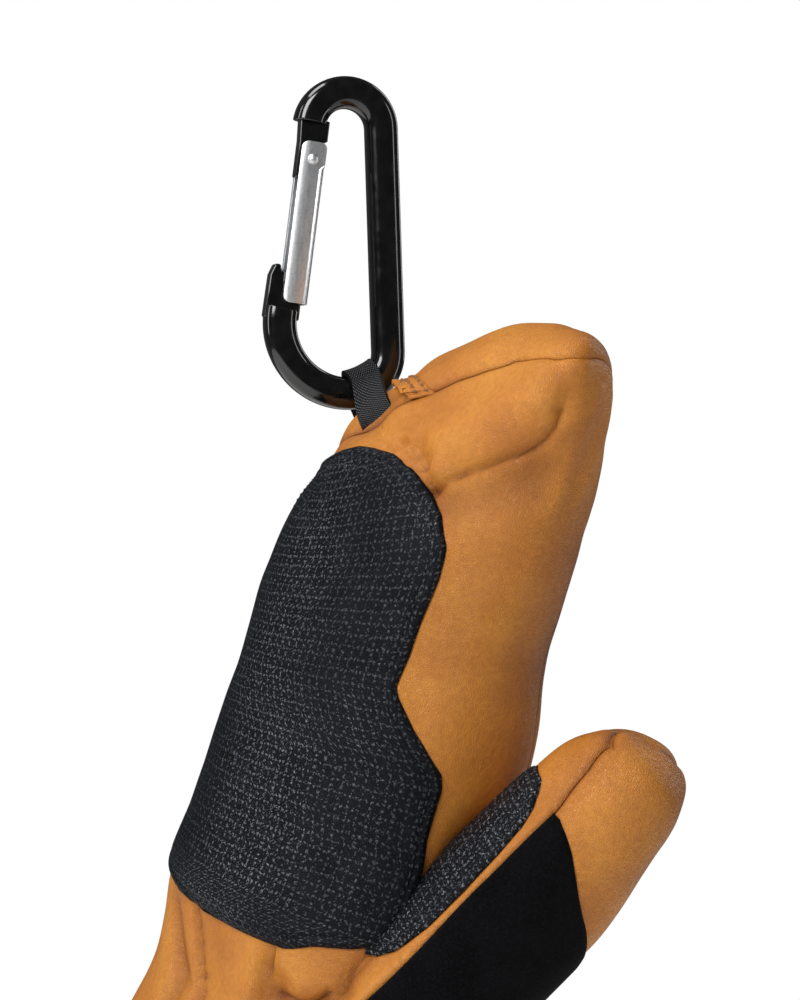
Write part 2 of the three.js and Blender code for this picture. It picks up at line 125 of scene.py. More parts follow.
# Folds of the hand: width, height, how sharp (0 round, 1 creased), and the run as (along, angle)
HAND_FOLDS = [
    # palm leather bulging below the tip seam, and the recess under it
    (9, 2.6, 0, [(157, 236), (157.5, 285), (156, 325)]),
    (7, -2.2, 0, [(139.5, 287), (139.5, 300), (139, 318), (140, 330)]),
    (1.2, -2.1, 1, [(145.5, 281), (146.1, 286), (147.5, 292), (146.8, 300), (146.8, 308), (146.1, 319),
                    (146.1, 326), (146.8, 331), (148.8, 336), (151.5, 337)]),
    (2.6, -1.0, 0, [(151.5, 337), (154.2, 337), (156.7, 337), (159, 338), (161, 337)]),
    # dent, lobe and crease by the patch's corner
    (1.4, -2.2, 1, [(160.8, 258), (159.9, 263), (158.4, 266), (157.3, 268), (152.9, 273), (148.8, 278),
                    (145.5, 281)]),
    (3.0, -2.6, 0, [(158.4, 269), (156.7, 270), (154.2, 273)]),
    (2.6, 1.8, 0, [(150.5, 281), (147.6, 286)]),
    (0.9, -0.8, 1, [(151.5, 286), (149.4, 288), (147.5, 290)]),
    (0.9, -0.7, 1, [(150, 290), (148.8, 292), (146.8, 294)]),
    (1.1, -1.1, 1, [(163.2, 226), (162.8, 236), (161.6, 250), (159.9, 261)]),
    # folds left of the loop's foot
    (1.2, -1.4, 1, [(163.3, 208), (162.4, 206), (161.2, 205)]),
    (1.0, -1.0, 1, [(163, 194), (161.8, 196), (160.4, 200)]),
    # full and hollow places of the outline
    (14, 2.2, 0, [(150, 12), (160, 2)]),
    (13, 2.3, 0, [(163, 100), (163.4, 85), (162.4, 76)]),
    (7, -2.3, 0, [(164, 150), (163.6, 188)]),
    (5.5, -2.2, 0, [(160.5, 30), (160, 20)]),
    (5, 1.2, 0, [(154, 16), (151, 17)]),
    (18, -3.2, 0, [(116, 27), (96, 28)]),
    (7, -1.6, 0, [(158, 184), (155, 188)]),
    (18, -2.0, 0, [(80, 220), (58, 222), (40, 222)]),
    # soft ripples of the index side
    (2.6, 0.5, 0, [(149.4, 0), (144.8, -7), (137.4, -11), (129.6, -14)]),
    (2.6, 0.45, 0, [(146, 14), (140.9, 11), (135.3, 5), (128.9, 1)]),
    (9, -1.0, 0, [(120, 318), (95, 322)]),
    # wrist: pleats and gathers
    (3.5, -2.2, 0, [(10, 240), (-4, 256), (-30, 258)]),
    (0.9, -3.6, 1, [(14.5, 257), (5, 262), (-4, 268), (-26, 268)]),
    (1.1, -1.0, 1, [(8, 238), (0, 250), (-5, 262)]),
    (7, 2.0, 0, [(10, 274), (0, 280), (-16, 280)]),
    (3.5, -2.4, 0, [(8, 297), (-10, 299), (-30, 297)]),
    (0.9, -3.8, 1, [(14.5, 289.5), (3, 291.4), (-8, 292), (-34, 292)]),
    (2.6, 1.4, 0, [(12, 285), (3, 287), (-8, 288), (-34, 288)]),
    (4.5, 1.8, 0, [(10, 300), (10, 318)]),
    (0.9, -3.0, 1, [(3.5, 296), (4.5, 306), (6, 318)]),
    (4.0, 1.6, 0, [(-3, 302), (-3, 318)]),
    (0.9, -3.4, 1, [(10, 318), (2, 313), (-8, 312), (-20, 316)]),
    (1.4, -1.4, 1, [(-11, 297), (-12, 312)]),
    (4.0, 1.2, 0, [(-18, 298), (-19, 330)]),
    (2.6, -1.3, 0, [(24, 308), (30, 307), (38, 306)]),
    (6, -1.8, 0, [(-6, 20), (-6, 100), (-6, 200)]),
    (1.4, -1.1, 1, [(-2, 30), (-4, 60), (-1, 90)]),
    (1.4, -1.1, 1, [(-9, 70), (-12, 110), (-9, 150)]),
    (1.4, -1.1, 1, [(0, 120), (-3, 160), (1, 200)]),
    (1.4, -0.9, 1, [(-14, 10), (-17, 50), (-15, 80)]),
]
HEM_FOLD = [(0.9, -0.7, 1, [(-63, 0), (-63, 90), (-63, 180), (-63, 270), (-63, 360)])]
THUMB_FOLDS = [
    # rolled edge between the two patches
    (2.4, 1.3, 0, [(12, 282.5), (45, 282.5), (82, 281)]),
    (3.5, -1.2, 0, [(14, 240), (12, 270)]),
    (3.0, -1.0, 0, [(24, 60), (22, 110), (26, 160)]),
    (1.6, -0.8, 1, [(30, 50), (27, 100)]),
    (3.0, 0.9, 0, [(106.5, 245), (107.5, 225)]),
    (0.9, -1.1, 1, [(104.2, 262), (105.6, 240), (106, 222)]),
    # full and hollow places of the outline
    (12, -2.4, 0, [(100, 46), (92, 38)]),
    (8, 1.6, 0, [(107.5, 110), (107, 95)]),
    (14, 1.2, 0, [(60, 38), (50, 38)]),
    (6, -1.2, 0, [(102, 205), (105, 203), (107.5, 204)]),
]
# Tab at the loop's foot, in the object's frame: its free edge and its far edge, and its two stitch rows
TAB_EDGES = [
    [(8.8, -21, -72.6), (8.4, -27.4, -74), (7.4, -35, -75.2), (7.3, -41.4, -77.2)],
    [(11.4, -27, -70.2), (10, -37.5, -71.1), (10.4, -44, -72.8), (11.8, -48.6, -75.4)],
]
TAB_ROWS = [0.46, 0.86]
TAB_SIDE = (-0.2, -0.35, 0.9)

# Carabiner
BAR_RADIUS = 4.25
BAR_SQUARENESS = 2.9
ARCH_END = radians(170)
BASKET_CENTRE, BASKET_RADIUS = (0.8, -55.8), 18.2
BASKET_START, BASKET_TURN = radians(168), radians(102)
CORNER_CENTRE, ARCH_CENTRE = (0.8, -63.3), (0, -5.35)
SPINE_LEAN = radians(1.878)
SPINE_RUN = (-1.899, 57.914)
PIVOT = (-9.2, 0, -13.5)
GATE_LEAN = radians(7.3)
GATE_WIDTH, GATE_DEPTH, GATE_WALL = 6.6, 7.2, 0.8
GATE_ABOVE, GATE_BELOW, GATE_CUT = 4.6, 37.6, -2.4
RIVET_RADIUS, RIVET_LENGTH, RIVET_HEAD = 0.95, 7.8, 1.45
TONGUE = 4.4
# Metal edges sharper than this are shaded as edges
CREASE = radians(40)
# Outlines of the bar's two flat ends between the gate's walls, about the pivot
LUG = [
    (-4.3, 10.4), (3.5, 10.4), (3.5, 5), (2.3, 4.6), (2.2, -1.8), (0.6, -3.2), (-1, -3.2), (-1.2, -5),
    (-3.9, -5), (-3.9, 4.6),
]
NOSE = [
    (-7.4, -42), (1.8, -42), (1.8, -31), (0.6, -29.6), (-4.3, -29.6), (-4.6, -28), (-6.2, -28), (-7.2, -31),
]

# Depth and width of the hollows along the seams, and where the thumb grows out of the hand
HAND_GROOVE, THUMB_GROOVE = (1.1, 1.0), (1.2, 1.2)
HAND_JOINT, THUMB_JOINT = (0.9, 2.2), (0.8, 2.0)

# Patches: height of the cut edge, the stitch row's distance from it, a stitch's thickness and its sunk share
PATCH_EDGE, STITCH_INSET = 0.35, 2.7
STITCH_THICKNESS, STITCH_SUNK = 0.48, 0.12

# Webbing loop
WEBBING_WIDTH, WEBBING_THICKNESS = 10, 1.3
LOOP_PLACE, LOOP_TILT = (6.1, 0, -73.3), radians(25)
# Left and right edge of the strap's front, from its end in the leather up towards the bar
LOOP_FRONT = np.array([
    [(1.6, -19.6, -87.4), (7.7, -25.6, -82.2)],
    [(-0.2, -22.2, -84.4), (5.9, -28.6, -78.9)], [(-1.4, -20.4, -80.4), (5.6, -21, -73.8)],
], float)


# Skins

def smooth_row(rows, place):
    """The table's row at a place between its rows, on a smooth curve through them."""
    last = len(rows) - 1
    index = np.clip(np.floor(place).astype(int), 0, last - 1)
    f = (place - index)[..., None]
    a, b, c, d = (rows[np.clip(index + step, 0, last)] for step in (-1, 0, 1, 2))
    bend = (2 * a - 5 * b + 4 * c - d) * f**2 + (3 * b - a - 3 * c + d) * f**3
    return b + 0.5 * ((c - a) * f + bend)


def skin(rows, squareness, place, angle):
    """Points at places in the table and angles in degrees; past the last row a flat cap closes the end."""
    last = len(rows) - 1
    place, angle = np.broadcast_arrays(np.asarray(place, float), np.asarray(angle, float))
    row = smooth_row(rows, np.minimum(place, last))
    along, side, rear, tilt, curl, half, palm, back = np.moveaxis(row, -1, 0)
    shrink = 1 - np.clip(place - last, 0, 1)
    c, s = np.cos(np.radians(angle)), np.sin(np.radians(angle))
    power = 2 / squareness
    x = half * shrink * np.sign(c) * np.abs(c)**power
    y = np.where(s < 0, palm, back) * shrink * np.sign(s) * np.abs(s)**power
    z = 0.5 * (1 - shrink**2)
    tilt, curl = np.radians(tilt), np.radians(curl)
    y, z = y * np.cos(curl) - z * np.sin(curl), y * np.sin(curl) + z * np.cos(curl)
    x, z = x * np.cos(tilt) + z * np.sin(tilt), z * np.cos(tilt) - x * np.sin(tilt)
    return np.stack([x + side, y + rear, z + along], -1)


def normals_of(rows, squareness, place, angle):
    place, angle = np.broadcast_arrays(np.asarray(place, float), np.asarray(angle, float))
    place = np.minimum(place, len(rows) - 0.03)
    before, after = np.maximum(place - 0.01, 0), place + 0.01
    up = skin(rows, squareness, after, angle) - skin(rows, squareness, before, angle)
    round_ = skin(rows, squareness, place, angle + 0.5) - skin(rows, squareness, place, angle - 0.5)
    n = np.cross(round_, up)
    return n / np.maximum(np.linalg.norm(n, axis=-1, keepdims=True), 1e-9)


def raised(points, normal, lift):
    """Points lifted along their normals; the last row is one point, so it takes one normal and one height."""
    normal, lift = normal.copy(), lift.copy()
    middle = normal[-2].mean(axis=0)
    normal[-1] = middle / np.linalg.norm(middle)
    lift[-1] = lift[-2].mean()
    return points + normal * lift[..., None]


def place_of(rows, along):
    """Place in the table where the skin reaches a distance along."""
    places = np.linspace(0, len(rows) - 1, 4001)
    return np.interp(along, smooth_row(rows, places)[:, 0], places)


def seam_at(seams, along):
    return np.interp(along, seams[:, 0], seams[:, 1]), np.interp(along, seams[:, 0], seams[:, 2])


def even_places(rows, squareness, first, last, spacing):
    """Places so that the skin's rows lie about one spacing apart."""
    fine = np.linspace(first, last, 1500)
    lines = skin(rows, squareness, fine[:, None], np.array([45, 120, 200, 250, 300, 350.0])[None])
    steps = np.linalg.norm(np.diff(lines, axis=0), axis=-1).max(axis=1)
    length = np.concatenate([[0], np.cumsum(steps)])
    return np.interp(np.linspace(0, length[-1], int(length[-1] / spacing) + 2), length, fine)


def crowded(count):
    """From 0 to 1 in steps that are half as long at both ends, where the seams are."""
    s = np.linspace(0, 1, count + 1)
    return s - 0.5 * np.sin(2 * pi * s) / (2 * pi)


def rotation(axis, angle):
    return np.array(Matrix.Rotation(angle, 3, axis))


HAND_TURN = rotation("Z", MITTEN_TURN) @ rotation("X", MITTEN_NOD) @ rotation("Y", MITTEN_LEAN) \
    @ rotation("Z", MITTEN_ROLL)
HAND_PLACE = rotation("Z", MITTEN_TURN) @ np.array(WRIST)
THUMB_TURN = rotation("X", THUMB_REACH) @ rotation("Y", THUMB_SPLAY)


def to_hand(points):
    return points @ THUMB_TURN.T + np.array(THUMB_ROOT)


def placed(points):
    """From the hand's frame, in millimetres, to the object's frame, in metres."""
    return (points @ HAND_TURN.T + HAND_PLACE) * MM


# Folds and lumps

def line_distance(points, line):
    """Distance of points from a line of points."""
    flat = points.reshape(-1, 3)
    best = np.full(len(flat), 1e9)
    for a, b in zip(line[:-1], line[1:]):
        run = b - a
        share = np.clip((flat - a) @ run / max(run @ run, 1e-9), 0, 1)
        best = np.minimum(best, np.linalg.norm(flat - a - share[:, None] * run, axis=1))
    return best.reshape(points.shape[:-1])


def fold_line(rows, squareness, run):
    run = np.array(run, float)
    steps = np.linspace(0, len(run) - 1, 8 * len(run))
    along = np.interp(steps, range(len(run)), run[:, 0])
    angle = np.interp(steps, range(len(run)), run[:, 1])
    return skin(rows, squareness, place_of(rows, along), angle)


WAVES = [(chance.normal(size=3), chance.uniform(0, 2 * pi)) for _ in range(14)]


def lumps(points, size):
    """Smooth uneven height between about -1 and 1, with lumps of that size."""
    total = 0
    for direction, phase in WAVES:
        total = total + np.sin(points @ direction * (2.6 / size) + phase)
    return total / 5


def folds(points, rows, squareness, table):
    """Height of all the table's folds at the points."""
    height = np.zeros(points.shape[:-1])
    for width, tall, sharp, run in table:
        distance = line_distance(points, fold_line(rows, squareness, run)) / width
        height += tall * np.exp(-distance if sharp else -distance**2)
    return height


def hand_lift(points):
    # The wrist's pleats run out above the hem
    fade = np.clip((points[..., 2] + 50) / 34, 0, 1)
    height = folds(points, HAND, HAND_SQUARE, HAND_FOLDS) * fade**1.5
    height += folds(points, HAND, HAND_SQUARE, HEM_FOLD)
    return height + 0.45 * lumps(points, 26) + 0.10 * lumps(points, 9)


def thumb_lift(points):
    height = folds(points, THUMB, THUMB_SQUARE, THUMB_FOLDS)
    return height + 0.3 * lumps(points, 20) + 0.08 * lumps(points, 8)


# Mesh steps

def start():
    if bpy.context.object and bpy.context.object.mode != "OBJECT":
        bpy.ops.object.mode_set(mode="OBJECT")
    bpy.ops.object.select_all(action="DESELECT")


def pick(piece):
    start()
    piece.select_set(True)
    bpy.context.view_layer.objects.active = piece


def edit(mode):
    bpy.ops.object.mode_set(mode="EDIT")
    bpy.ops.mesh.select_mode(type=mode)


def done():
    bpy.ops.object.mode_set(mode="OBJECT")


def add_modifier(piece, kind, **settings):
    bpy.context.view_layer.objects.active = piece
    modifier = piece.modifiers.new(kind.lower(), kind)
    for key, value in settings.items():
        setattr(modifier, key, value)
    bpy.ops.object.modifier_apply(modifier=modifier.name)


def sheet_from(name, points, painted_shade=None, uv=None):
    """A grid primitive whose points are moved to their places on the object."""
    start()
    rows, columns = points.shape[:2]
    bpy.ops.mesh.primitive_grid_add(x_subdivisions=columns - 1, y_subdivisions=rows - 1, size=1)
    piece = bpy.context.object
    piece.name = piece.data.name = name
    mesh = piece.data
    mesh.vertices.foreach_set("co", points.astype(np.float32).ravel())
    # The point attribute holds how much painted shade darkens the colour there
    if painted_shade is not None:
        mesh.attributes.new("painted_shade", "FLOAT", "POINT").data.foreach_set(
            "value", painted_shade.astype(np.float32).ravel())
    if uv is not None:
        corner = np.empty(len(mesh.loops), np.int32)
        mesh.loops.foreach_get("vertex_index", corner)
        mesh.uv_layers[0].data.foreach_set("uv", uv.reshape(-1, 2)[corner].astype(np.float32).ravel())
    mesh.update()
    return piece


def drop_faces(piece, mask):
    """Deletes the faces of a grid that the mask names, then closes the ring and the pole."""
    mesh = piece.data
    mesh.vertices.foreach_set("select", np.zeros(len(mesh.vertices), bool))
    mesh.edges.foreach_set("select", np.zeros(len(mesh.edges), bool))
    mesh.polygons.foreach_set("select", mask.ravel())
    edit("FACE")
    bpy.ops.mesh.delete(type="FACE")
    bpy.ops.mesh.select_all(action="SELECT")
    bpy.ops.mesh.remove_doubles(threshold=0.00002)
    bpy.ops.mesh.normals_make_consistent(inside=False)
    done()


def thickened(piece, thickness, thin=None, inside=0):
    """Gives a sheet its wall, inwards; thin holds each point's share of the thickness."""
    settings = {}
    if thin is not None:
        group = piece.vertex_groups.new(name="wall")
        for level in np.unique(np.round(thin, 1)):
            members = np.nonzero(np.round(thin, 1) == level)[0]
            group.add([int(i) for i in members], float(level), "REPLACE")
        settings = {"vertex_group": "wall", "thickness_vertex_group": 0.0}
    add_modifier(piece, "SOLIDIFY", thickness=thickness * MM, offset=-1, material_offset=inside, **settings)
    if thin is not None:
        piece.vertex_groups.clear()


def finish_piece(piece, material, body="root", replaces=(), crease=None):
    """Shades a piece, round all over or with creases, gives it its material when it has none, hangs it on its
    body and hides the nodes that it replaces.
    """
    pick(piece)
    if crease is None:
        bpy.ops.object.shade_smooth()
    else:
        bpy.ops.object.shade_smooth_by_angle(angle=crease)
    if not piece.data.materials:
        piece.data.materials.append(material)
    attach(piece, body)
    if replaces:
        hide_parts(*replaces)
    return piece


# Materials

def colour(code):
    """sRGB hex to linear."""
    parts = [int(code[i:i + 2], 16) / 255 for i in (1, 3, 5)]
    return [p / 12.92 if p <= 0.04045 else ((p + 0.055) / 1.055)**2.4 for p in parts] + [1]


def set_inputs(node, inputs):
    """Sets inputs to values, sockets or nodes; a node is linked by the first output that it shows."""
    for key, value in inputs.items():
        if isinstance(value, bpy.types.Node):
            value = next(socket for socket in value.outputs if socket.enabled)
        if isinstance(value, bpy.types.NodeSocket):
            node.id_data.links.new(value, node.inputs[key])
        else:
            node.inputs[key].default_value = value


def add_node(tree, kind, inputs=None, stops=(), **settings):
    """Adds a node with its settings and links; stops are a colour ramp's, and a number there is a grey."""
    new = tree.nodes.new("ShaderNode" + kind)
    for key, value in settings.items():
        setattr(new, key, value)
    if stops:
        elements = new.color_ramp.elements
        while len(elements) < len(stops):
            elements.new(0.5)
        for element, (place, value) in zip(elements, stops):
            element.position = place
            element.color = colour(value) if isinstance(value, str) else (value, value, value, 1)
    set_inputs(new, inputs or {})
    return new


def new_material(name, base, roughness, **sockets):
    material = bpy.data.materials.new(name)
    material.use_nodes = True
    shader = material.node_tree.nodes["Principled BSDF"]
    set_inputs(shader, {"Base Color": colour(base), "Roughness": roughness})
    set_inputs(shader, {key.replace("_", " "): value for key, value in sockets.items()})
    return material, material.node_tree, shader


def tan_leather():
    # Full-grain cowhide, waxed: fine pebbled grain, slightly uneven colour, with painted shade that makes it
    # darker and redder in folds, seam hollows and where the thumb meets the hand
    material, tree, shader = new_material("waxed_grain_leather", "#BD7729", 0.5, Specular_IOR_Level=0.38)
    where = add_node(tree, "TexCoord").outputs["Object"]
    cloudy = add_node(tree, "TexNoise", {"Vector": where, "Scale": 55.0, "Detail": 4.0})
    patchy = add_node(tree, "ValToRGB", {0: cloudy}, [(0.3, "#B06B23"), (0.5, "#BD7729"), (0.72, "#C8842F")])
    fine = add_node(tree, "TexNoise", {"Vector": where, "Scale": 700.0, "Detail": 3.0})
    specks = add_node(tree, "ValToRGB", {0: fine}, [(0.38, 0.0), (0.66, 0.28)])
    speckled = add_node(tree, "Mix", {0: specks, 6: patchy, 7: colour("#93551B")}, data_type="RGBA")
    # Painted shade: the point attribute darkens and reddens the colour where the leather sinks
    painted_shade = add_node(tree, "Attribute", attribute_name="painted_shade").outputs["Fac"]
    deep = add_node(tree, "ValToRGB", {0: painted_shade}, [(0.0, 0.0), (1.0, 0.85)])
    colour_with_painted_shade = add_node(tree, "Mix", {0: deep, 6: speckled, 7: colour("#69300F")}, data_type="RGBA")
    # Pebbles of about 0.45 mm with their valleys, drawn at 0.6 mm so that they show
    grain = add_node(tree, "TexVoronoi", {"Vector": where, "Scale": 1750.0}, feature="DISTANCE_TO_EDGE")
    pebbles = add_node(tree, "ValToRGB", {0: grain}, [(0.0, 0.0), (0.25, 1.0)])
    wrinkle = add_node(tree, "TexNoise",
                       {"Vector": where, "Scale": 260.0, "Detail": 6.0, "Distortion": 0.8})
    creased = add_node(tree, "Bump", {"Strength": 0.35, "Distance": 0.0004, "Height": wrinkle})
    bump = add_node(tree, "Bump",
                    {"Strength": 0.7, "Distance": 0.00016, "Height": pebbles, "Normal": creased})
    waxy = add_node(tree, "ValToRGB", {0: fine}, [(0.3, 0.38), (0.7, 0.52)])
    set_inputs(shader, {"Base Color": colour_with_painted_shade, "Roughness": waxy, "Normal": bump})
    return material


def grip_leather():
    # Polyurethane-coated grip leather, embossed: glossy beads 1.4 mm apart frame smooth dark squares of
    # 2.8 mm, over a fine grain of 0.7 mm, drawn coarser than the real one so that it shows
    material, tree, shader = new_material("embossed_grip_leather", "#14161A", 0.5)
    where = add_node(tree, "TexCoord").outputs["UV"]
    wander = add_node(tree, "TexNoise", {"Vector": where, "Scale": 0.6, "Detail": 2.0}).outputs["Color"]
    centred = add_node(tree, "VectorMath", {0: wander, 1: (0.5, 0.5, 0.5)}, operation="SUBTRACT")
    jitter = add_node(tree, "VectorMath", {0: centred, 1: (2.0, 2.0, 0), 2: where}, operation="MULTIPLY_ADD")
    axes = add_node(tree, "SeparateXYZ", {0: jitter}).outputs
    waves = []
    for pitch in (1.4, 2.8):
        for axis in (0, 1):
            turns = add_node(tree, "Math", {0: axes[axis], 1: 2 * pi / pitch}, operation="MULTIPLY")
            wave = add_node(tree, "Math", {0: turns}, operation="COSINE")
            waves.append(add_node(tree, "Math", {0: wave, 1: 0.5, 2: 0.5}, operation="MULTIPLY_ADD"))
    crossing = add_node(tree, "Math", {0: waves[0], 1: waves[1]}, operation="MULTIPLY")
    frames = add_node(tree, "Math", {0: waves[2], 1: waves[3]}, operation="MAXIMUM")
    bead = add_node(tree, "Math", {0: crossing, 1: frames}, operation="MULTIPLY")
    beads = add_node(tree, "ValToRGB", {0: bead}, [(0.4, 0.0), (0.8, 1.0)])
    # No beads in the middle of a square
    sides = [add_node(tree, "ValToRGB", {0: wave}, [(0.55, 0.0), (0.8, 1.0)]) for wave in waves[2:]]
    rails = add_node(tree, "Math", {0: sides[0], 1: sides[1]}, operation="MAXIMUM")
    cells = add_node(tree, "TexVoronoi", {"Vector": where, "Scale": 1.35}, voronoi_dimensions="2D")
    dots = add_node(tree, "ValToRGB", {0: cells}, [(0.08, 1.0), (0.3, 0.0)])
    some = add_node(tree, "SeparateXYZ", {0: cells.outputs["Color"]})
    chosen = add_node(tree, "ValToRGB", {0: some}, [(0.25, 0.1), (0.8, 1.0)])
    speck = add_node(tree, "Math", {0: dots, 1: chosen}, operation="MULTIPLY")
    beside = add_node(tree, "ValToRGB", {0: rails}, [(0.0, 0.25), (1.0, 0.9)])
    specks = add_node(tree, "Math", {0: speck, 1: beside}, operation="MULTIPLY")
    uneven = add_node(tree, "TexNoise", {"Vector": where, "Scale": 1.6, "Detail": 2.0})
    kept = add_node(tree, "ValToRGB", {0: uneven}, [(0.36, 0.2), (0.56, 1.0)])
    bright = add_node(tree, "Math", {0: beads, 1: kept}, operation="MULTIPLY")
    both = add_node(tree, "Math", {0: bright, 1: specks}, operation="MAXIMUM")
    # A painted lit band along the middle of the palm, where the light falls: there beads and specks are painted
    # brighter, and are glossier and higher; 0.5 is the middle line, 0.1 is 8 mm
    across = add_node(tree, "SeparateXYZ", {0: where})
    share = add_node(tree, "Math", {0: across, 1: 1 / 80, 2: 0.5}, operation="MULTIPLY_ADD")
    painted_lit_band = add_node(tree, "ValToRGB", {0: share}, [(0.25, 0.3), (0.5, 1.0), (0.58, 1.0), (0.8, 0.3)])
    shiny = add_node(tree, "Math", {0: both, 1: painted_lit_band}, operation="MULTIPLY")
    cloudy = add_node(tree, "TexNoise", {"Vector": where, "Scale": 0.12, "Detail": 4.0})
    base = add_node(tree, "ValToRGB", {0: cloudy}, [(0.35, "#0B0D10"), (0.7, "#121419")])
    # Painted highlights: beads and specks are painted lighter, as glints
    colour_with_painted_glints = add_node(tree, "Mix", {0: shiny, 6: base, 7: colour("#4C515A")}, data_type="RGBA")
    rough = add_node(tree, "ValToRGB", {0: shiny}, [(0.0, 0.5), (0.5, 0.2)])
    gloss = add_node(tree, "ValToRGB", {0: shiny}, [(0.0, 0.07), (0.5, 1.0)])
    grain = add_node(tree, "TexVoronoi", {"Vector": where, "Scale": 2.4}, voronoi_dimensions="2D")
    pimples = add_node(tree, "ValToRGB", {0: grain}, [(0.0, 1.0), (0.6, 0.0)])
    low = add_node(tree, "Bump", {"Strength": 0.6, "Distance": 0.0001, "Height": pimples})
    bump = add_node(tree, "Bump", {"Strength": 1.0, "Distance": 0.00016, "Height": shiny, "Normal": low})
    set_inputs(shader, {"Base Color": colour_with_painted_glints, "Roughness": rough, "Specular IOR Level": gloss,
                        "Normal": bump})
    return material


def suede():
    # Split-leather suede, brushed: no gloss, a short nap with a dusty bloom
    material, tree, shader = new_material("brushed_suede", "#060607", 0.95, Sheen_Weight=0.02,
                                          Sheen_Roughness=0.5, Specular_IOR_Level=0.05)
    where = add_node(tree, "TexCoord").outputs["Object"]
    nap = add_node(tree, "TexNoise", {"Vector": where, "Scale": 1500.0, "Detail": 4.0})
    cloudy = add_node(tree, "TexNoise", {"Vector": where, "Scale": 90.0, "Detail": 3.0})
    base = add_node(tree, "ValToRGB", {0: cloudy}, [(0.35, "#050506"), (0.7, "#0A0A0C")])
    bloom = add_node(tree, "ValToRGB", {0: nap}, [(0.45, 0.0), (0.8, 0.5)])
    dusty = add_node(tree, "Mix", {0: bloom, 6: base, 7: colour("#17171B")}, data_type="RGBA")
    bump = add_node(tree, "Bump", {"Strength": 0.9, "Distance": 0.00025, "Height": nap})
    set_inputs(shader, {"Base Color": dusty, "Normal": bump})
    return material


def woven_webbing():
    # Polyester webbing, plain weave: black picks about 0.9 mm apart, a painted glint, a lighter colour, on each
    # crossing
    material, tree, shader = new_material("plain_woven_polyester_webbing", "#0B0B0D", 0.75,
                                          Specular_IOR_Level=0.2)
    where = add_node(tree, "TexCoord").outputs["UV"]
    axes = add_node(tree, "SeparateXYZ", {0: where}).outputs
    pitch = 0.9
    waves = []
    for axis in (0, 1):
        turns = add_node(tree, "Math", {0: axes[axis], 1: 2 * pi / pitch}, operation="MULTIPLY")
        waves.append(add_node(tree, "Math", {0: turns}, operation="SINE"))
    crossing = add_node(tree, "Math", {0: waves[0], 1: waves[1]}, operation="MULTIPLY")
    weave = add_node(tree, "Math", {0: crossing, 1: 0.5, 2: 0.5}, operation="MULTIPLY_ADD")
    glint = add_node(tree, "ValToRGB", {0: weave}, [(0.78, 0.0), (0.97, 1.0)])
    # Painted highlights: the crossings' glints are lighter base colour
    weave_with_painted_glints = add_node(tree, "Mix", {0: glint, 6: colour("#070708"), 7: colour("#85868C")}, data_type="RGBA")
    bump = add_node(tree, "Bump", {"Strength": 0.9, "Distance": 0.00035, "Height": weave})
    set_inputs(shader, {"Base Color": weave_with_painted_glints, "Normal": bump})
    return material


def thread(name, code):
    # Twisted polyester thread: its plies show as an uneven colour and a fine relief
    material, tree, shader = new_material(name, code, 0.6, Sheen_Weight=0.1)
    where = add_node(tree, "TexCoord").outputs["Object"]
    twist = add_node(tree, "TexNoise", {"Vector": where, "Scale": 3500.0, "Detail": 2.0})
    dark = [c * 0.55 for c in colour(code)[:3]] + [1]
    plies = add_node(tree, "Mix", {0: twist, 6: dark, 7: colour(code)}, data_type="RGBA")
    bump = add_node(tree, "Bump", {"Strength": 0.6, "Distance": 0.0001, "Height": twist})
    set_inputs(shader, {"Base Color": plies, "Normal": bump})
    return material


def brushed_lining():
    # Brushed polyester fleece lining: short pale-grey pile with soft clumps
    material, tree, shader = new_material("brushed_fleece_lining", "#77746E", 0.95, Sheen_Weight=0.3)
    where = add_node(tree, "TexCoord").outputs["Object"]
    pile = add_node(tree, "TexNoise", {"Vector": where, "Scale": 600.0, "Detail": 5.0})
    grey = add_node(tree, "ValToRGB", {0: pile}, [(0.3, "#5F5C57"), (0.7, "#86837C")])
    bump = add_node(tree, "Bump", {"Strength": 0.9, "Distance": 0.0006, "Height": pile})
    set_inputs(shader, {"Base Color": grey, "Normal": bump})
    return material


def black_metal():
    # Aluminium, hard-anodised black and polished: deep gloss with faint handling scratches
    material, tree, shader = new_material("gloss_black_anodised_aluminium", "#060607", 0.14,
                                          Coat_Weight=0.5, Coat_Roughness=0.05)
    where = add_node(tree, "TexCoord").outputs["Object"]
    wear = add_node(tree, "TexNoise", {"Vector": where, "Scale": 320.0, "Detail": 5.0})
    rough = add_node(tree, "ValToRGB", {0: wear}, [(0.3, 0.08), (0.75, 0.22)])
    dull = add_node(tree, "ValToRGB", {0: wear}, [(0.4, "#050506"), (0.8, "#101012")])
    bump = add_node(tree, "Bump", {"Strength": 0.15, "Distance": 0.00005, "Height": wear})
    set_inputs(shader, {"Base Color": dull, "Roughness": rough, "Normal": bump})
    return material


def bright_metal():
    # Aluminium strip, pressed and tumbled: bright, with fine scratches along the gate
    material, tree, shader = new_material("pressed_bright_aluminium", "#D6D8DA", 0.3, Metallic=1.0)
    where = add_node(tree, "TexCoord").outputs["Object"]
    long = add_node(tree, "Mapping",
                    {"Vector": where, "Rotation": (0, -GATE_LEAN, 0), "Scale": (4000, 4000, 260)})
    lines = add_node(tree, "TexNoise", {"Vector": long, "Scale": 1.0, "Detail": 3.0})
    pits = add_node(tree, "TexNoise", {"Vector": where, "Scale": 1400.0, "Detail": 4.0})
    rough = add_node(tree, "ValToRGB", {0: lines}, [(0.3, 0.36), (0.7, 0.46)])
    tumbled = add_node(tree, "ValToRGB", {0: pits}, [(0.2, "#C4C6C9"), (0.5, "#E4E6E8")])
    bump = add_node(tree, "Bump", {"Strength": 0.12, "Distance": 0.00002, "Height": lines})
    set_inputs(shader, {"Base Color": tumbled, "Roughness": rough, "Normal": bump})
    return material


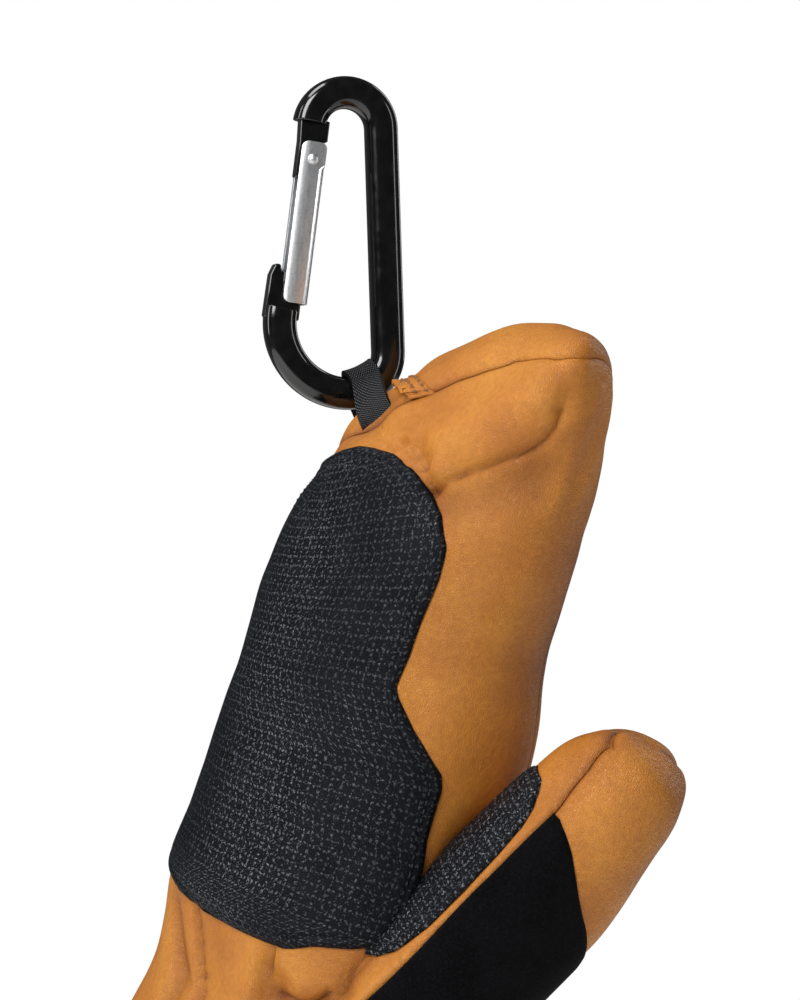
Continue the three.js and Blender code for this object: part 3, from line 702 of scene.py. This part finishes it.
TAN, GRIP, SUEDE = tan_leather(), grip_leather(), suede()
WEBBING, LINING = woven_webbing(), brushed_lining()
BLACK, BRIGHT = black_metal(), bright_metal()
TAN_THREAD, BLACK_THREAD = thread("tan_twisted_thread", "#8A5420"), thread("black_twisted_thread", "#17181B")


# Camera, light and floor

def build_studio():
    scene = bpy.context.scene
    camera = bpy.data.objects.new("camera", bpy.data.cameras.new("camera"))
    scene.collection.objects.link(camera)
    turn = Matrix.Rotation(CAMERA_TURN, 4, "Z")
    camera.matrix_world = turn @ Matrix.Translation(Vector(CAMERA_PLACE) * MM) \
        @ Matrix.Rotation(pi / 2, 4, "X")
    camera.data.sensor_fit = "VERTICAL"
    camera.data.sensor_height = SENSOR
    camera.data.lens = SENSOR * 1000 / PHOTO_HEIGHT_AT_CAMERA_DISTANCE
    camera.data.clip_start, camera.data.clip_end = 0.01, 50
    scene.camera = camera
    scene.view_settings.view_transform = "Standard"

    world = bpy.data.worlds.new("studio")
    scene.world = world
    world.use_nodes = True
    tree = world.node_tree
    tree.nodes.clear()
    # White to the camera, soft as a light, and dimmer in reflections
    ray = add_node(tree, "LightPath").outputs
    shown, soft, dim = (add_node(tree, "Background", {"Color": (1, 1, 1, 1), "Strength": strength})
                        for strength in (1.0, 0.20, 0.07))
    unseen = add_node(tree, "MixShader", {0: ray["Is Glossy Ray"], 1: soft, 2: dim})
    either = add_node(tree, "MixShader", {0: ray["Is Camera Ray"], 1: unseen, 2: shown})
    add_node(tree, "OutputWorld", {0: either})

    # name, place in the camera's frame (right, away, up) in metres, aim, width, height, watts
    lamps = [
        ("key", (-0.45, -0.80, 0.42), (0.0, 0.0, -0.12), 0.5, 0.7, 10.5),
        ("window", (-0.95, -0.10, 0.2), (0.0, 0.0, -0.12), 0.22, 0.8, 2.2),
        ("side", (0.85, -0.35, -0.05), (0.02, 0.0, -0.12), 0.12, 0.9, 1.3),
        ("rim", (0.55, 0.6, 0.25), (0.03, 0.0, -0.12), 0.2, 0.8, 1.2),
        ("top", (-0.4, -0.1, 0.8), (0.0, 0.0, -0.1), 0.5, 0.4, 4),
    ]
    for name, place, aim, width, height, watts in lamps:
        light = bpy.data.lights.new(name, "AREA")
        light.shape, light.size, light.size_y, light.energy = "RECTANGLE", width, height, watts
        lamp = bpy.data.objects.new(name, light)
        scene.collection.objects.link(lamp)
        facing = (Vector(place) - Vector(aim)).to_track_quat("Z", "Y").to_matrix().to_4x4()
        lamp.matrix_world = turn @ Matrix.Translation(place) @ facing

    start()
    floor_radius, floor_height = 0.8, -0.345
    bpy.ops.mesh.primitive_circle_add(vertices=96, radius=floor_radius, fill_type="NGON",
                                      location=(0, 0, floor_height))
    floor = bpy.context.object
    floor.name = "floor"
    bpy.ops.object.transform_apply(location=True, rotation=True, scale=True)
    floor.data.materials.append(new_material("pale_floor_paper", "#F2F2F0", 0.9)[0])


# Leather panels

HAND_ROWS = even_places(HAND, HAND_SQUARE, 0, len(HAND), 1.0)
THUMB_ROWS = even_places(THUMB, THUMB_SQUARE, 0.8, len(THUMB), 0.8)


def ring(rows, places, seams, first_count, second_count):
    """Places and angles of a whole ring of columns whose two seams follow grid lines."""
    along = smooth_row(rows, np.minimum(places, len(rows) - 1))[:, 0]
    begin, end = seam_at(seams, along)
    first = begin[:, None] + (end - begin)[:, None] * crowded(first_count)[None, :-1]
    second = end[:, None] + (begin + 360 - end)[:, None] * crowded(second_count)[None]
    return np.broadcast_to(places[:, None], (len(places), first_count + second_count + 1)), \
        np.concatenate([first, second], axis=1)


def tree_of(points):
    flat = points.reshape(-1, 3)
    found = KDTree(len(flat))
    for i, p in enumerate(flat):
        found.insert(p, i)
    found.balance()
    return found


def height_over(points, surface, surface_normals):
    """How far points stand outside a surface."""
    finder = tree_of(surface)
    flat, normal = surface.reshape(-1, 3), surface_normals.reshape(-1, 3)
    nearest = np.array([finder.find(p)[1] for p in points.reshape(-1, 3)])
    away = points.reshape(-1, 3) - flat[nearest]
    return np.einsum("ij,ij->i", away, normal[nearest]).reshape(points.shape[:-1])


def coarse_height(points, surface, surface_normals):
    """height_over, worked out at every other point of a grid."""
    height = height_over(points[::2, ::2], surface, surface_normals)
    return np.repeat(np.repeat(height, 2, 0), 2, 1)[:points.shape[0], :points.shape[1]]


BACK_COLUMNS, PALM_COLUMNS = 92, 156
hand_place, hand_angle = ring(HAND, HAND_ROWS, BACK_SEAM, BACK_COLUMNS, PALM_COLUMNS)
tip_row = int(np.searchsorted(hand_place[:, 0], place_of(HAND, TIP_SEAM_ALONG)))
# One row of the grid is bent on to the tip seam, and the rows near it bend with it
tip_angle = hand_angle[tip_row] % 360
seam_shift = np.interp(tip_angle, TIP_SEAM[:, 0], TIP_SEAM[:, 1]) - hand_place[tip_row, 0]
seam_shift[(tip_angle < TIP_SEAM[0, 0]) | (tip_angle > TIP_SEAM[-1, 0])] = 0
seam_shift = np.convolve(np.pad(seam_shift, 3, mode="wrap"), np.ones(7) / 7, mode="valid")
near_tip = np.exp(-((hand_place - hand_place[tip_row, 0]) / 0.6)**2)
hand_place = np.clip(hand_place + seam_shift * near_tip, 0, len(HAND))
hand_skin = skin(HAND, HAND_SQUARE, hand_place, hand_angle)
hand_normal = normals_of(HAND, HAND_SQUARE, hand_place, hand_angle)
OUTER_COLUMNS, INNER_COLUMNS = 84, 84
thumb_place, thumb_angle = ring(THUMB, THUMB_ROWS, THUMB_SEAM, OUTER_COLUMNS, INNER_COLUMNS)
thumb_skin = skin(THUMB, THUMB_SQUARE, thumb_place, thumb_angle)
thumb_normal = normals_of(THUMB, THUMB_SQUARE, thumb_place, thumb_angle)

thumb_over_hand = coarse_height(to_hand(thumb_skin), hand_skin, hand_normal)


def shown_faces(mask_points):
    """Face mask from a point mask: a face counts when all its points do."""
    return mask_points[:-1, :-1] & mask_points[1:, :-1] & mask_points[:-1, 1:] & mask_points[1:, 1:]


def seam_hollow(points, lines, width):
    """1 on the lines, fading to 0 beside them."""
    return np.max([np.exp(-line_distance(points, line) / width) for line in lines], axis=0)


def build_panels(points, painted_shade, wall_share, panels):
    """Cuts one skin into panels with wall and lining; a panel is its name, kept faces and replaced node."""
    for name, kept, node in panels:
        piece = sheet_from(name, points, painted_shade)
        shares = piece.data.attributes.new("wall_share", "FLOAT", "POINT")
        shares.data.foreach_set("value", wall_share.astype(np.float32).ravel())
        drop_faces(piece, ~kept)
        left = np.empty(len(piece.data.vertices), np.float32)
        shares = piece.data.attributes["wall_share"]
        shares.data.foreach_get("value", left)
        piece.data.attributes.remove(shares)
        for material in (TAN, LINING):
            piece.data.materials.append(material)
        thickened(piece, WALL, left, inside=1)
        finish_piece(piece, TAN, replaces=[node])


def build_hand():
    first_seam, second_seam = hand_skin[:tip_row + 1, 0], hand_skin[:tip_row + 1, BACK_COLUMNS]
    tip_seam = hand_skin[tip_row, BACK_COLUMNS:]
    depth, width = HAND_GROOVE
    groove = seam_hollow(hand_skin, [first_seam[::2], tip_seam[::2], second_seam[::2]], width)
    lift = hand_lift(hand_skin) - depth * groove
    thumb_near = coarse_height(hand_skin, to_hand(thumb_skin), thumb_normal @ THUMB_TURN.T)
    depth, width = HAND_JOINT
    joint = np.exp(-np.clip(thumb_near, 0, None) / width)
    lift = lift - depth * joint * (thumb_near < 20)
    # Painted shade: how much darker the leather is painted in hollows, seam grooves and beside the thumb's root
    painted_shade = np.clip(-lift / 4.0 + 0.35 * groove + 0.5 * joint, 0, 1)
    # Near the tip the two sides lie close together, so nothing may sink far there
    deepest = np.interp(hand_skin[..., 2], [157, 163], [4, 0.8])
    points = placed(raised(hand_skin, hand_normal, np.maximum(lift, -deepest)))
    row, column = np.mgrid[:points.shape[0] - 1, :points.shape[1] - 1]
    palm_side = (column >= BACK_COLUMNS) & (row < tip_row)
    inside_thumb = shown_faces(thumb_near < -7)
    wall_share = np.clip((168 - hand_skin[..., 2]) / 22, 0.1, 1)
    build_panels(points, painted_shade, wall_share, [("palm_leather", palm_side & ~inside_thumb, "palm_panel"),
                                              ("back_leather", ~palm_side, "back_panel")])


def build_thumb():
    depth, width = THUMB_GROOVE
    groove = seam_hollow(thumb_skin, [thumb_skin[::3, 0], thumb_skin[::3, OUTER_COLUMNS]], width)
    lift = thumb_lift(thumb_skin) - depth * groove
    depth, width = THUMB_JOINT
    root = np.exp(-np.abs(thumb_over_hand) / width)
    lift = lift - depth * root
    # Painted shade: how much darker the leather is painted in hollows, seam grooves and round its root
    painted_shade = np.clip(-lift / 4.0 + 0.35 * groove + 0.4 * root, 0, 1)
    points = placed(to_hand(raised(thumb_skin, thumb_normal, lift)))
    row, column = np.mgrid[:points.shape[0] - 1, :points.shape[1] - 1]
    outer, outside_hand = column < OUTER_COLUMNS, ~shown_faces(thumb_over_hand < -3)
    wall_share = np.clip((112 - thumb_skin[..., 2]) / 16, 0.1, 1)
    build_panels(points, painted_shade, wall_share,
                 [("thumb_outer_leather", outer & outside_hand, "thumb_outer_panel"),
                  ("thumb_inner_leather", ~outer & outside_hand, "thumb_inner_panel")])


# Patches

def patch_grid(rows, squareness, outline, spacing):
    """Places and angles of a grid inside an outline given as along, first angle and last angle."""
    low, high = outline[0, 0], outline[-1, 0]
    places = even_places(rows, squareness, place_of(rows, low), place_of(rows, high), spacing)
    along = smooth_row(rows, places)[:, 0]
    begin, end = seam_at(outline, along)
    widest = int(np.max(end - begin) * 0.75 / spacing)
    share = np.linspace(0, 1, widest)
    angle = begin[:, None] + (end - begin)[:, None] * share
    return np.broadcast_to(places[:, None], angle.shape), angle


def edge_distance(grid):
    line = np.concatenate([grid[0], grid[1:, -1], grid[-1, -2::-1], grid[-2:0:-1, 0], grid[:1, 0]])
    return line_distance(grid, line[::2])


def build_patch(name, rows, squareness, outline, thickness, lift_of, transform, material, node,
                hidden_by=None, spacing=0.8, groove=0.5):
    """A patch over part of a skin; gives back its surface, normals and distance from its edge, for stitches."""
    place, angle = patch_grid(rows, squareness, outline, spacing)
    base = skin(rows, squareness, place, angle)
    normal = normals_of(rows, squareness, place, angle)
    distance = edge_distance(base)
    profile = PATCH_EDGE + (thickness - PATCH_EDGE) * (1 - np.exp(-(distance / 0.8)**1.3))
    profile -= groove * np.exp(-((distance - STITCH_INSET) / 0.5)**2)
    # The stiff patch bridges the leather's narrow folds
    lift = lift_of(base)
    calm = lift.copy()
    for _ in range(14):
        around = np.pad(calm, 1, mode="edge")
        calm = (around[:-2, 1:-1] + around[2:, 1:-1] + around[1:-1, :-2] + around[1:-1, 2:]) / 4
    lift = np.maximum(calm, lift - 0.15)
    points = base + normal * (lift + profile)[..., None]
    across = np.cumsum(np.linalg.norm(np.diff(base, axis=1, prepend=base[:, :1]), axis=-1), axis=1)
    across -= across[:, across.shape[1] // 2][:, None]
    down = np.cumsum(np.linalg.norm(np.diff(base, axis=0, prepend=base[:1]), axis=-1).mean(axis=1))
    uv = np.stack([across, np.broadcast_to(down[:, None], across.shape)], -1)
    # Painted shade in the patch's hollows, though the patches' materials don't read it
    piece = sheet_from(name, transform(points), np.clip(-lift / 4, 0, 1), uv)
    dropped = np.zeros((points.shape[0] - 1, points.shape[1] - 1), bool)
    if hidden_by is not None:
        dropped = shown_faces(hidden_by(base) < -1.5)
    drop_faces(piece, dropped)
    thickened(piece, thickness * 0.8)
    finish_piece(piece, material, replaces=[node])
    return base + normal * (lift + profile + 0.1)[..., None], normal, distance


def sewn(name, line, normals, pitch, length, thickness, material, sunk):
    """A row of stitches along a line of points in millimetres; each dips into the leather at both ends."""
    start()
    bpy.ops.mesh.primitive_uv_sphere_add(segments=8, ring_count=6, radius=0.5)
    model = bpy.context.object
    shape = np.array([v.co[:] for v in model.data.vertices])[:, [2, 0, 1]]
    faces = [list(f.vertices) for f in model.data.polygons]
    bpy.ops.object.delete()
    shape = shape * (length, thickness * 1.15, thickness)
    shape[:, 2] -= thickness * 0.9 * (shape[:, 0] / (length / 2))**2 + sunk * thickness
    steps = np.concatenate([[0], np.cumsum(np.linalg.norm(np.diff(line, axis=0), axis=1))])
    places = np.arange(pitch / 2, steps[-1], pitch)
    take = lambda values, at: np.stack([np.interp(at, steps, values[:, i]) for i in range(3)], -1)
    middle, n = take(line, places), take(normals, places)
    t = take(line, places + 0.3) - take(line, places - 0.3)
    t /= np.linalg.norm(t, axis=1)[:, None]
    n -= t * np.sum(n * t, axis=1)[:, None]
    n /= np.linalg.norm(n, axis=1)[:, None]
    b = np.cross(n, t)
    corners = middle[:, None] + t[:, None] * shape[None, :, :1] + b[:, None] * shape[None, :, 1:2] \
        + n[:, None] * shape[None, :, 2:]
    mesh = bpy.data.meshes.new(name)
    all_faces = [[i + k * len(shape) for i in face] for k in range(len(places)) for face in faces]
    mesh.from_pydata((corners.reshape(-1, 3) * MM).tolist(), [], all_faces)
    row = bpy.data.objects.new(name, mesh)
    bpy.context.scene.collection.objects.link(row)
    return finish_piece(row, material)


def inset_line(points, normals, distance, inset):
    """The line on a patch that stays one inset away from its edge, as points and normals."""
    rows = [i for i in range(len(points)) if distance[i].max() >= inset]
    left = {i: int(np.argmax(distance[i] >= inset)) for i in rows}
    right = {i: int(len(distance[i]) - 1 - np.argmax(distance[i][::-1] >= inset)) for i in rows}
    first, last = rows[0], rows[-1]
    loop = [(first, j) for j in range(left[first], right[first])]
    loop += [(i, right[i]) for i in rows]
    loop += [(last, j) for j in range(right[last] - 1, left[last], -1)]
    loop += [(i, left[i]) for i in reversed(rows)]
    rows_, columns_ = np.array(loop).T
    line, normal = points[rows_, columns_], normals[rows_, columns_]
    for _ in range(6):
        line = (np.roll(line, 1, 0) + line + np.roll(line, -1, 0)) / 3
    return line, normal


def to_object(points):
    """From the hand's frame to the object's, both in millimetres."""
    return placed(points) / MM


def turned(directions):
    return directions @ HAND_TURN.T


def build_patch_stitches(name, surface, to_frame, turn, inset, pitch, only=None):
    points, normals, distance = surface
    line, normal = inset_line(points, normals, distance, inset)
    line, normal = to_frame(line), turn(normal)
    if only is not None:
        kept = only(line)
        begin = int(np.argmax(~kept))
        order = np.roll(np.arange(len(line)), -begin)
        order = order[kept[order]]
        line, normal = line[order], normal[order]
    sewn(name, line, normal, pitch, pitch * 0.74, STITCH_THICKNESS, BLACK_THREAD, STITCH_SUNK)


def build_tab(leather):
    """Tab at the loop's foot: a strip across the tip, free at the edge where the strap comes out."""
    long_points, wide_points = 46, 18
    places, share = np.linspace(0, 3, long_points), np.linspace(0, 1, wide_points)
    near, far = (np.stack([np.interp(places, range(4), column) for column in np.array(edge).T], -1)[:, None]
                 for edge in TAB_EDGES)
    flat = near * (1 - share)[None, :, None] + far * share[None, :, None]
    found, normal = np.empty(flat.shape), np.empty(flat.shape)
    down = -Vector(TAB_SIDE).normalized()
    for index in np.ndindex(flat.shape[:2]):
        above = Vector(flat[index]) * MM - down * 0.02
        hits = [piece.ray_cast(above, down) for piece in leather]
        _, place, away, _ = min((hit for hit in hits if hit[0]), key=lambda hit: (hit[1] - above).length)
        found[index], normal[index] = np.array(place) / MM, np.array(away)
    for _ in range(8):
        for grid in (found, normal):
            grid[1:-1] = (grid[:-2] + grid[1:-1] * 2 + grid[2:]) / 4
            grid[:, 1:-1] = (grid[:, :-2] + grid[:, 1:-1] * 2 + grid[:, 2:]) / 4
    normal /= np.linalg.norm(normal, axis=-1, keepdims=True)
    rows = sum(np.exp(-((share - row) / 0.09)**2) for row in TAB_ROWS)
    height = 1.9 * (1 - share)**0.8 + 0.8 - 0.25 * rows
    steps = np.arange(long_points)
    ends = np.minimum(steps, steps[::-1])[:, None] / 4
    height = height[None] * np.clip(ends, 0.15, 1)**0.5
    points = found + normal * height[..., None]
    # Painted shade along the grooves of the two stitch rows
    piece = sheet_from("loop_tab", points[::-1] * MM, np.broadcast_to(0.25 * rows, height.shape))
    thickened(piece, 1.1)
    finish_piece(piece, TAN)
    for number, row in enumerate(TAB_ROWS, 1):
        column = int(round(row * (wide_points - 1)))
        out = normal[:, column]
        sewn(f"tab_stitches_{number}", points[:, column] + out * 0.3, out, 2.5, 1.9, 0.6, TAN_THREAD,
             0.0)


build_studio()
build_hand()
build_thumb()

thumb_in_hand, thumb_in_hand_normal = to_hand(thumb_skin), thumb_normal @ THUMB_TURN.T
from_thumb = lambda p: placed(to_hand(p))
over_thumb = lambda p: height_over(p, thumb_in_hand, thumb_in_hand_normal)
over_hand = lambda p: height_over(to_hand(p), hand_skin, hand_normal)
palm_surface = build_patch("palm_grip_patch", HAND, HAND_SQUARE, PALM_PATCH, 1.6, hand_lift, placed, GRIP,
                           "palm_patch", hidden_by=over_thumb)
strip_surface = build_patch("thumb_grip_strip", THUMB, THUMB_SQUARE, GRIP_STRIP, 1.5, thumb_lift,
                            from_thumb, GRIP, "thumb_grip_patch", hidden_by=over_hand,
                            spacing=0.55)
build_patch("thumb_suede_wipe", THUMB, THUMB_SQUARE, WIPE_PATCH, 1.3, thumb_lift, from_thumb, SUEDE,
            "thumb_wipe_patch", hidden_by=over_hand, spacing=0.7, groove=0.0)
build_patch_stitches("palm_patch_stitches", palm_surface, to_object, turned, STITCH_INSET, 2.3)
build_patch_stitches("palm_patch_inner_stitches", palm_surface, to_object, turned, 5.2, 2.3,
                     only=lambda p: p[:, 2] > -108)
build_patch_stitches("thumb_strip_stitches", strip_surface, lambda p: to_object(to_hand(p)),
                     lambda n: turned(n @ THUMB_TURN.T), 2.5, 2.0)
build_tab([bpy.data.objects["back_leather"], bpy.data.objects["palm_leather"]])


# Webbing loop

def build_loop():
    front = [(-1.1, -24), (-2.3, -15.8), (-5.3, -7)]
    over = [(5.9 * cos(radians(a)), 6.7 * sin(radians(a))) for a in range(180, -1, -20)]
    rear = [(5.3, -7), (1.5, -14), (-6, -19.5)]
    route = np.array(front + over + rear)
    steps = np.concatenate([[0], np.cumsum(np.linalg.norm(np.diff(route, axis=0), axis=1))])
    route_points, wide_points, front_top = 160, 25, 3.5
    fine = np.linspace(0, steps[-1], route_points)
    line = np.stack([np.interp(fine, steps, route[:, i]) for i in (0, 1)], -1)
    for _ in range(12):
        line[1:-1] = (line[:-2] + 2 * line[1:-1] + line[2:]) / 4
    width = np.linspace(-WEBBING_WIDTH / 2, WEBBING_WIDTH / 2, wide_points)
    # Pulled together where it lies on the bar, its edges turned up a little
    pulled = 1 - 0.2 * np.exp(-((line[:, 1] - 6) / 6)**2)
    cupped = 0.5 * np.exp(-((line[:, 1] - 4) / 7)**2)[:, None] * (width[None] / 5)**2
    deep = line[:, None, 0] * (1 + cupped / 6)
    points = np.stack(np.broadcast_arrays(width[None] * pulled[:, None], deep, line[:, None, 1] + cupped), -1)
    points = points @ rotation("Y", -LOOP_TILT).T + np.array(LOOP_PLACE)
    # Below the bar the front runs through the rows of LOOP_FRONT into the leather
    begin = int(np.argmax(line[:, 1] > front_top))
    share = np.linspace(0, 1, wide_points)[None, :, None]
    lower = LOOP_FRONT[:, :1] * (1 - share) + LOOP_FRONT[:, 1:] * share
    rows = np.concatenate([lower, points[begin:begin + 1]])
    front = smooth_row(rows.reshape(4, -1), np.linspace(0, 3, begin + 1)[:-1])
    points[:begin] = front.reshape(begin, wide_points, 3)
    uv = np.stack(np.broadcast_arrays(width[None, :], fine[:, None]), -1)
    piece = sheet_from("webbing_loop", points * MM, uv=uv)
    add_modifier(piece, "SOLIDIFY", thickness=WEBBING_THICKNESS * MM, offset=0)
    add_modifier(piece, "BEVEL", width=0.35 * MM, segments=2, limit_method="ANGLE", angle_limit=radians(50))
    finish_piece(piece, WEBBING, replaces=["hang_loop"])


# Carabiner

def build_bar():
    start()
    x, z = BASKET_CENTRE
    outwards = Vector((cos(BASKET_START), 0, sin(BASKET_START)))
    centre = (Vector((x, 0, z)) + outwards * BASKET_RADIUS) * MM
    bpy.ops.mesh.primitive_circle_add(vertices=40, radius=BAR_RADIUS * MM, rotation=(0, -BASKET_START, 0),
                                      location=centre)
    bar = bpy.context.object
    bar.name = "carabiner_bar"
    bpy.ops.object.transform_apply(location=True, rotation=True, scale=True)
    for vertex in bar.data.vertices:
        # A round bar pressed a little square
        offset = vertex.co - centre
        across, deep = offset.dot(outwards) / BAR_RADIUS / MM, offset.y / BAR_RADIUS / MM
        grow = (abs(across)**BAR_SQUARENESS + abs(deep)**BAR_SQUARENESS)**(-1 / BAR_SQUARENESS)
        vertex.co = centre + offset * grow
    edit("VERT")
    bpy.ops.mesh.select_all(action="SELECT")
    turns = [(BASKET_CENTRE, BASKET_TURN, 34), (CORNER_CENTRE, pi / 2 + SPINE_LEAN, 26), None,
             (ARCH_CENTRE, ARCH_END - SPINE_LEAN, 56)]
    spine_steps = 20
    step = (SPINE_RUN[0] * MM / spine_steps, 0, SPINE_RUN[1] * MM / spine_steps)
    for turn in turns:
        if turn:
            (x, z), angle, steps = turn
            bpy.ops.mesh.spin(steps=steps, angle=angle, center=(x * MM, 0, z * MM), axis=(0, 1, 0))
        else:
            for _ in range(spine_steps):
                bpy.ops.mesh.extrude_region_move(TRANSFORM_OT_translate={"value": step})
    bpy.ops.mesh.select_all(action="SELECT")
    bpy.ops.mesh.remove_doubles(threshold=0.00001)
    bpy.ops.mesh.fill_holes(sides=0)
    bpy.ops.mesh.normals_make_consistent(inside=False)
    done()
    add_modifier(bar, "BEVEL", width=1.0 * MM, segments=3, limit_method="ANGLE", angle_limit=radians(60))
    return bar


def plate(name, outline, thickness, bevel):
    """A flat outline in the gate's frame, given its thickness and rounded edges."""
    start()
    bpy.ops.mesh.primitive_circle_add(vertices=len(outline), radius=MM, fill_type="NGON")
    piece = bpy.context.object
    piece.name = name
    for vertex, (x, z) in zip(piece.data.vertices, outline):
        vertex.co = (x * MM, -thickness / 2 * MM, z * MM)
    edit("FACE")
    bpy.ops.mesh.select_all(action="SELECT")
    bpy.ops.mesh.extrude_region_move(TRANSFORM_OT_translate={"value": (0, thickness * MM, 0)})
    bpy.ops.mesh.select_all(action="SELECT")
    bpy.ops.mesh.normals_make_consistent(inside=False)
    done()
    add_modifier(piece, "BEVEL", width=bevel * MM, segments=3, limit_method="ANGLE", angle_limit=radians(40))
    return piece


def to_gate(piece):
    """From the gate's frame to its place on the pivot."""
    pick(piece)
    piece.location = Vector(PIVOT) * MM
    piece.rotation_euler = (0, GATE_LEAN, 0)
    bpy.ops.object.transform_apply(location=True, rotation=True, scale=True)


def build_carabiner():
    bar = build_bar()
    lug = plate("carabiner_lug", LUG, TONGUE, 0.35)
    nose = plate("carabiner_nose", NOSE, TONGUE, 0.5)
    for piece in (lug, nose):
        to_gate(piece)
    finish_piece(bar, BLACK, replaces=["carabiner_body"], crease=CREASE)
    for piece in (lug, nose):
        finish_piece(piece, BLACK, crease=CREASE)


def build_gate():
    # A channel of strip, open on its outer side, its inner side cut away round the rivet
    start()
    half = GATE_WIDTH / 2
    corner_radius, edge_radius = 1.8, 1.3
    size = Vector((GATE_WIDTH, GATE_DEPTH, GATE_ABOVE + GATE_BELOW)) * MM
    bpy.ops.mesh.primitive_cube_add(size=1, location=(0, 0, (GATE_ABOVE - GATE_BELOW) / 2 * MM), scale=size)
    gate = bpy.context.object
    gate.name = "gate_channel"
    bpy.ops.object.transform_apply(location=True, rotation=True, scale=True)
    edit("FACE")
    bpy.ops.mesh.select_all(action="SELECT")
    bpy.ops.mesh.bisect(plane_co=(0, 0, GATE_CUT * MM), plane_no=(0, 0, 1))
    bpy.ops.mesh.select_all(action="DESELECT")
    done()
    for face in gate.data.polygons:
        open_side = face.normal.x < -0.9
        ends = abs(face.normal.z) > 0.9
        cut_away = face.normal.x > 0.9 and face.center.z / MM > GATE_CUT
        face.select = open_side or ends or cut_away
    edit("FACE")
    bpy.ops.mesh.delete(type="FACE")
    done()
    for vertex in gate.data.vertices:
        x, _, z = vertex.co / MM
        vertex.select = (x < 0 or z > 4) and (abs(z - GATE_ABOVE) < 0.1 or abs(z + GATE_BELOW) < 0.1)
    edit("VERT")
    bpy.ops.mesh.bevel(offset=corner_radius * MM, segments=6, affect="VERTICES")
    bpy.ops.mesh.select_mode(type="EDGE")
    bpy.ops.mesh.select_all(action="DESELECT")
    done()
    for edge in gate.data.edges:
        one, two = (gate.data.vertices[i].co / MM for i in edge.vertices)
        edge.select = min(one.x, two.x) > half - 0.01 and abs(one.z - two.z) > 5 and one.y * two.y > 0
    edit("EDGE")
    bpy.ops.mesh.bevel(offset=edge_radius * MM, segments=6, affect="EDGES")
    for cut in (-2.2, -1.1, 0, 1.1):
        bpy.ops.mesh.select_all(action="SELECT")
        bpy.ops.mesh.bisect(plane_co=(cut * MM, 0, 0), plane_no=(1, 0, 0))
    done()
    # Its side walls are crowned about a line beside their middle
    crown, middle, reach = 0.45, -0.6, 2.7
    for vertex in gate.data.vertices:
        x, y = vertex.co.x / MM, vertex.co.y / MM
        if x < middle + reach:
            rise = crown * (1 - (min(x - middle, reach) / reach)**2)
            vertex.co.y += (rise - crown) * MM * (1 if y > 0 else -1)
    add_modifier(gate, "SOLIDIFY", thickness=GATE_WALL * MM, offset=-1)
    add_modifier(gate, "BEVEL", width=0.3 * MM, segments=3, limit_method="ANGLE", angle_limit=radians(50))
    to_gate(gate)
    finish_piece(gate, BRIGHT, body="gate", replaces=["carabiner_gate"], crease=CREASE)


def build_rivet():
    # A domed head on each end of its shank
    start()
    bpy.ops.mesh.primitive_cylinder_add(vertices=32, radius=RIVET_RADIUS * MM, depth=RIVET_LENGTH * MM,
                                        rotation=(pi / 2, 0, 0))
    shank = bpy.context.object
    heads = []
    for side in (-1, 1):
        bpy.ops.mesh.primitive_uv_sphere_add(segments=32, ring_count=16, radius=RIVET_HEAD * MM,
                                             location=(0, side * 3.85 * MM, 0), scale=(1, 0.55, 1))
        heads.append(bpy.context.object)
    for piece in (shank, *heads):
        piece.select_set(True)
    bpy.context.view_layer.objects.active = shank
    bpy.ops.object.join()
    shank.name = "gate_rivet_domed"
    bpy.ops.object.transform_apply(location=True, rotation=True, scale=True)
    to_gate(shank)
    finish_piece(shank, BRIGHT, replaces=["gate_rivet"])


build_loop()
build_carabiner()
build_gate()
build_rivet()
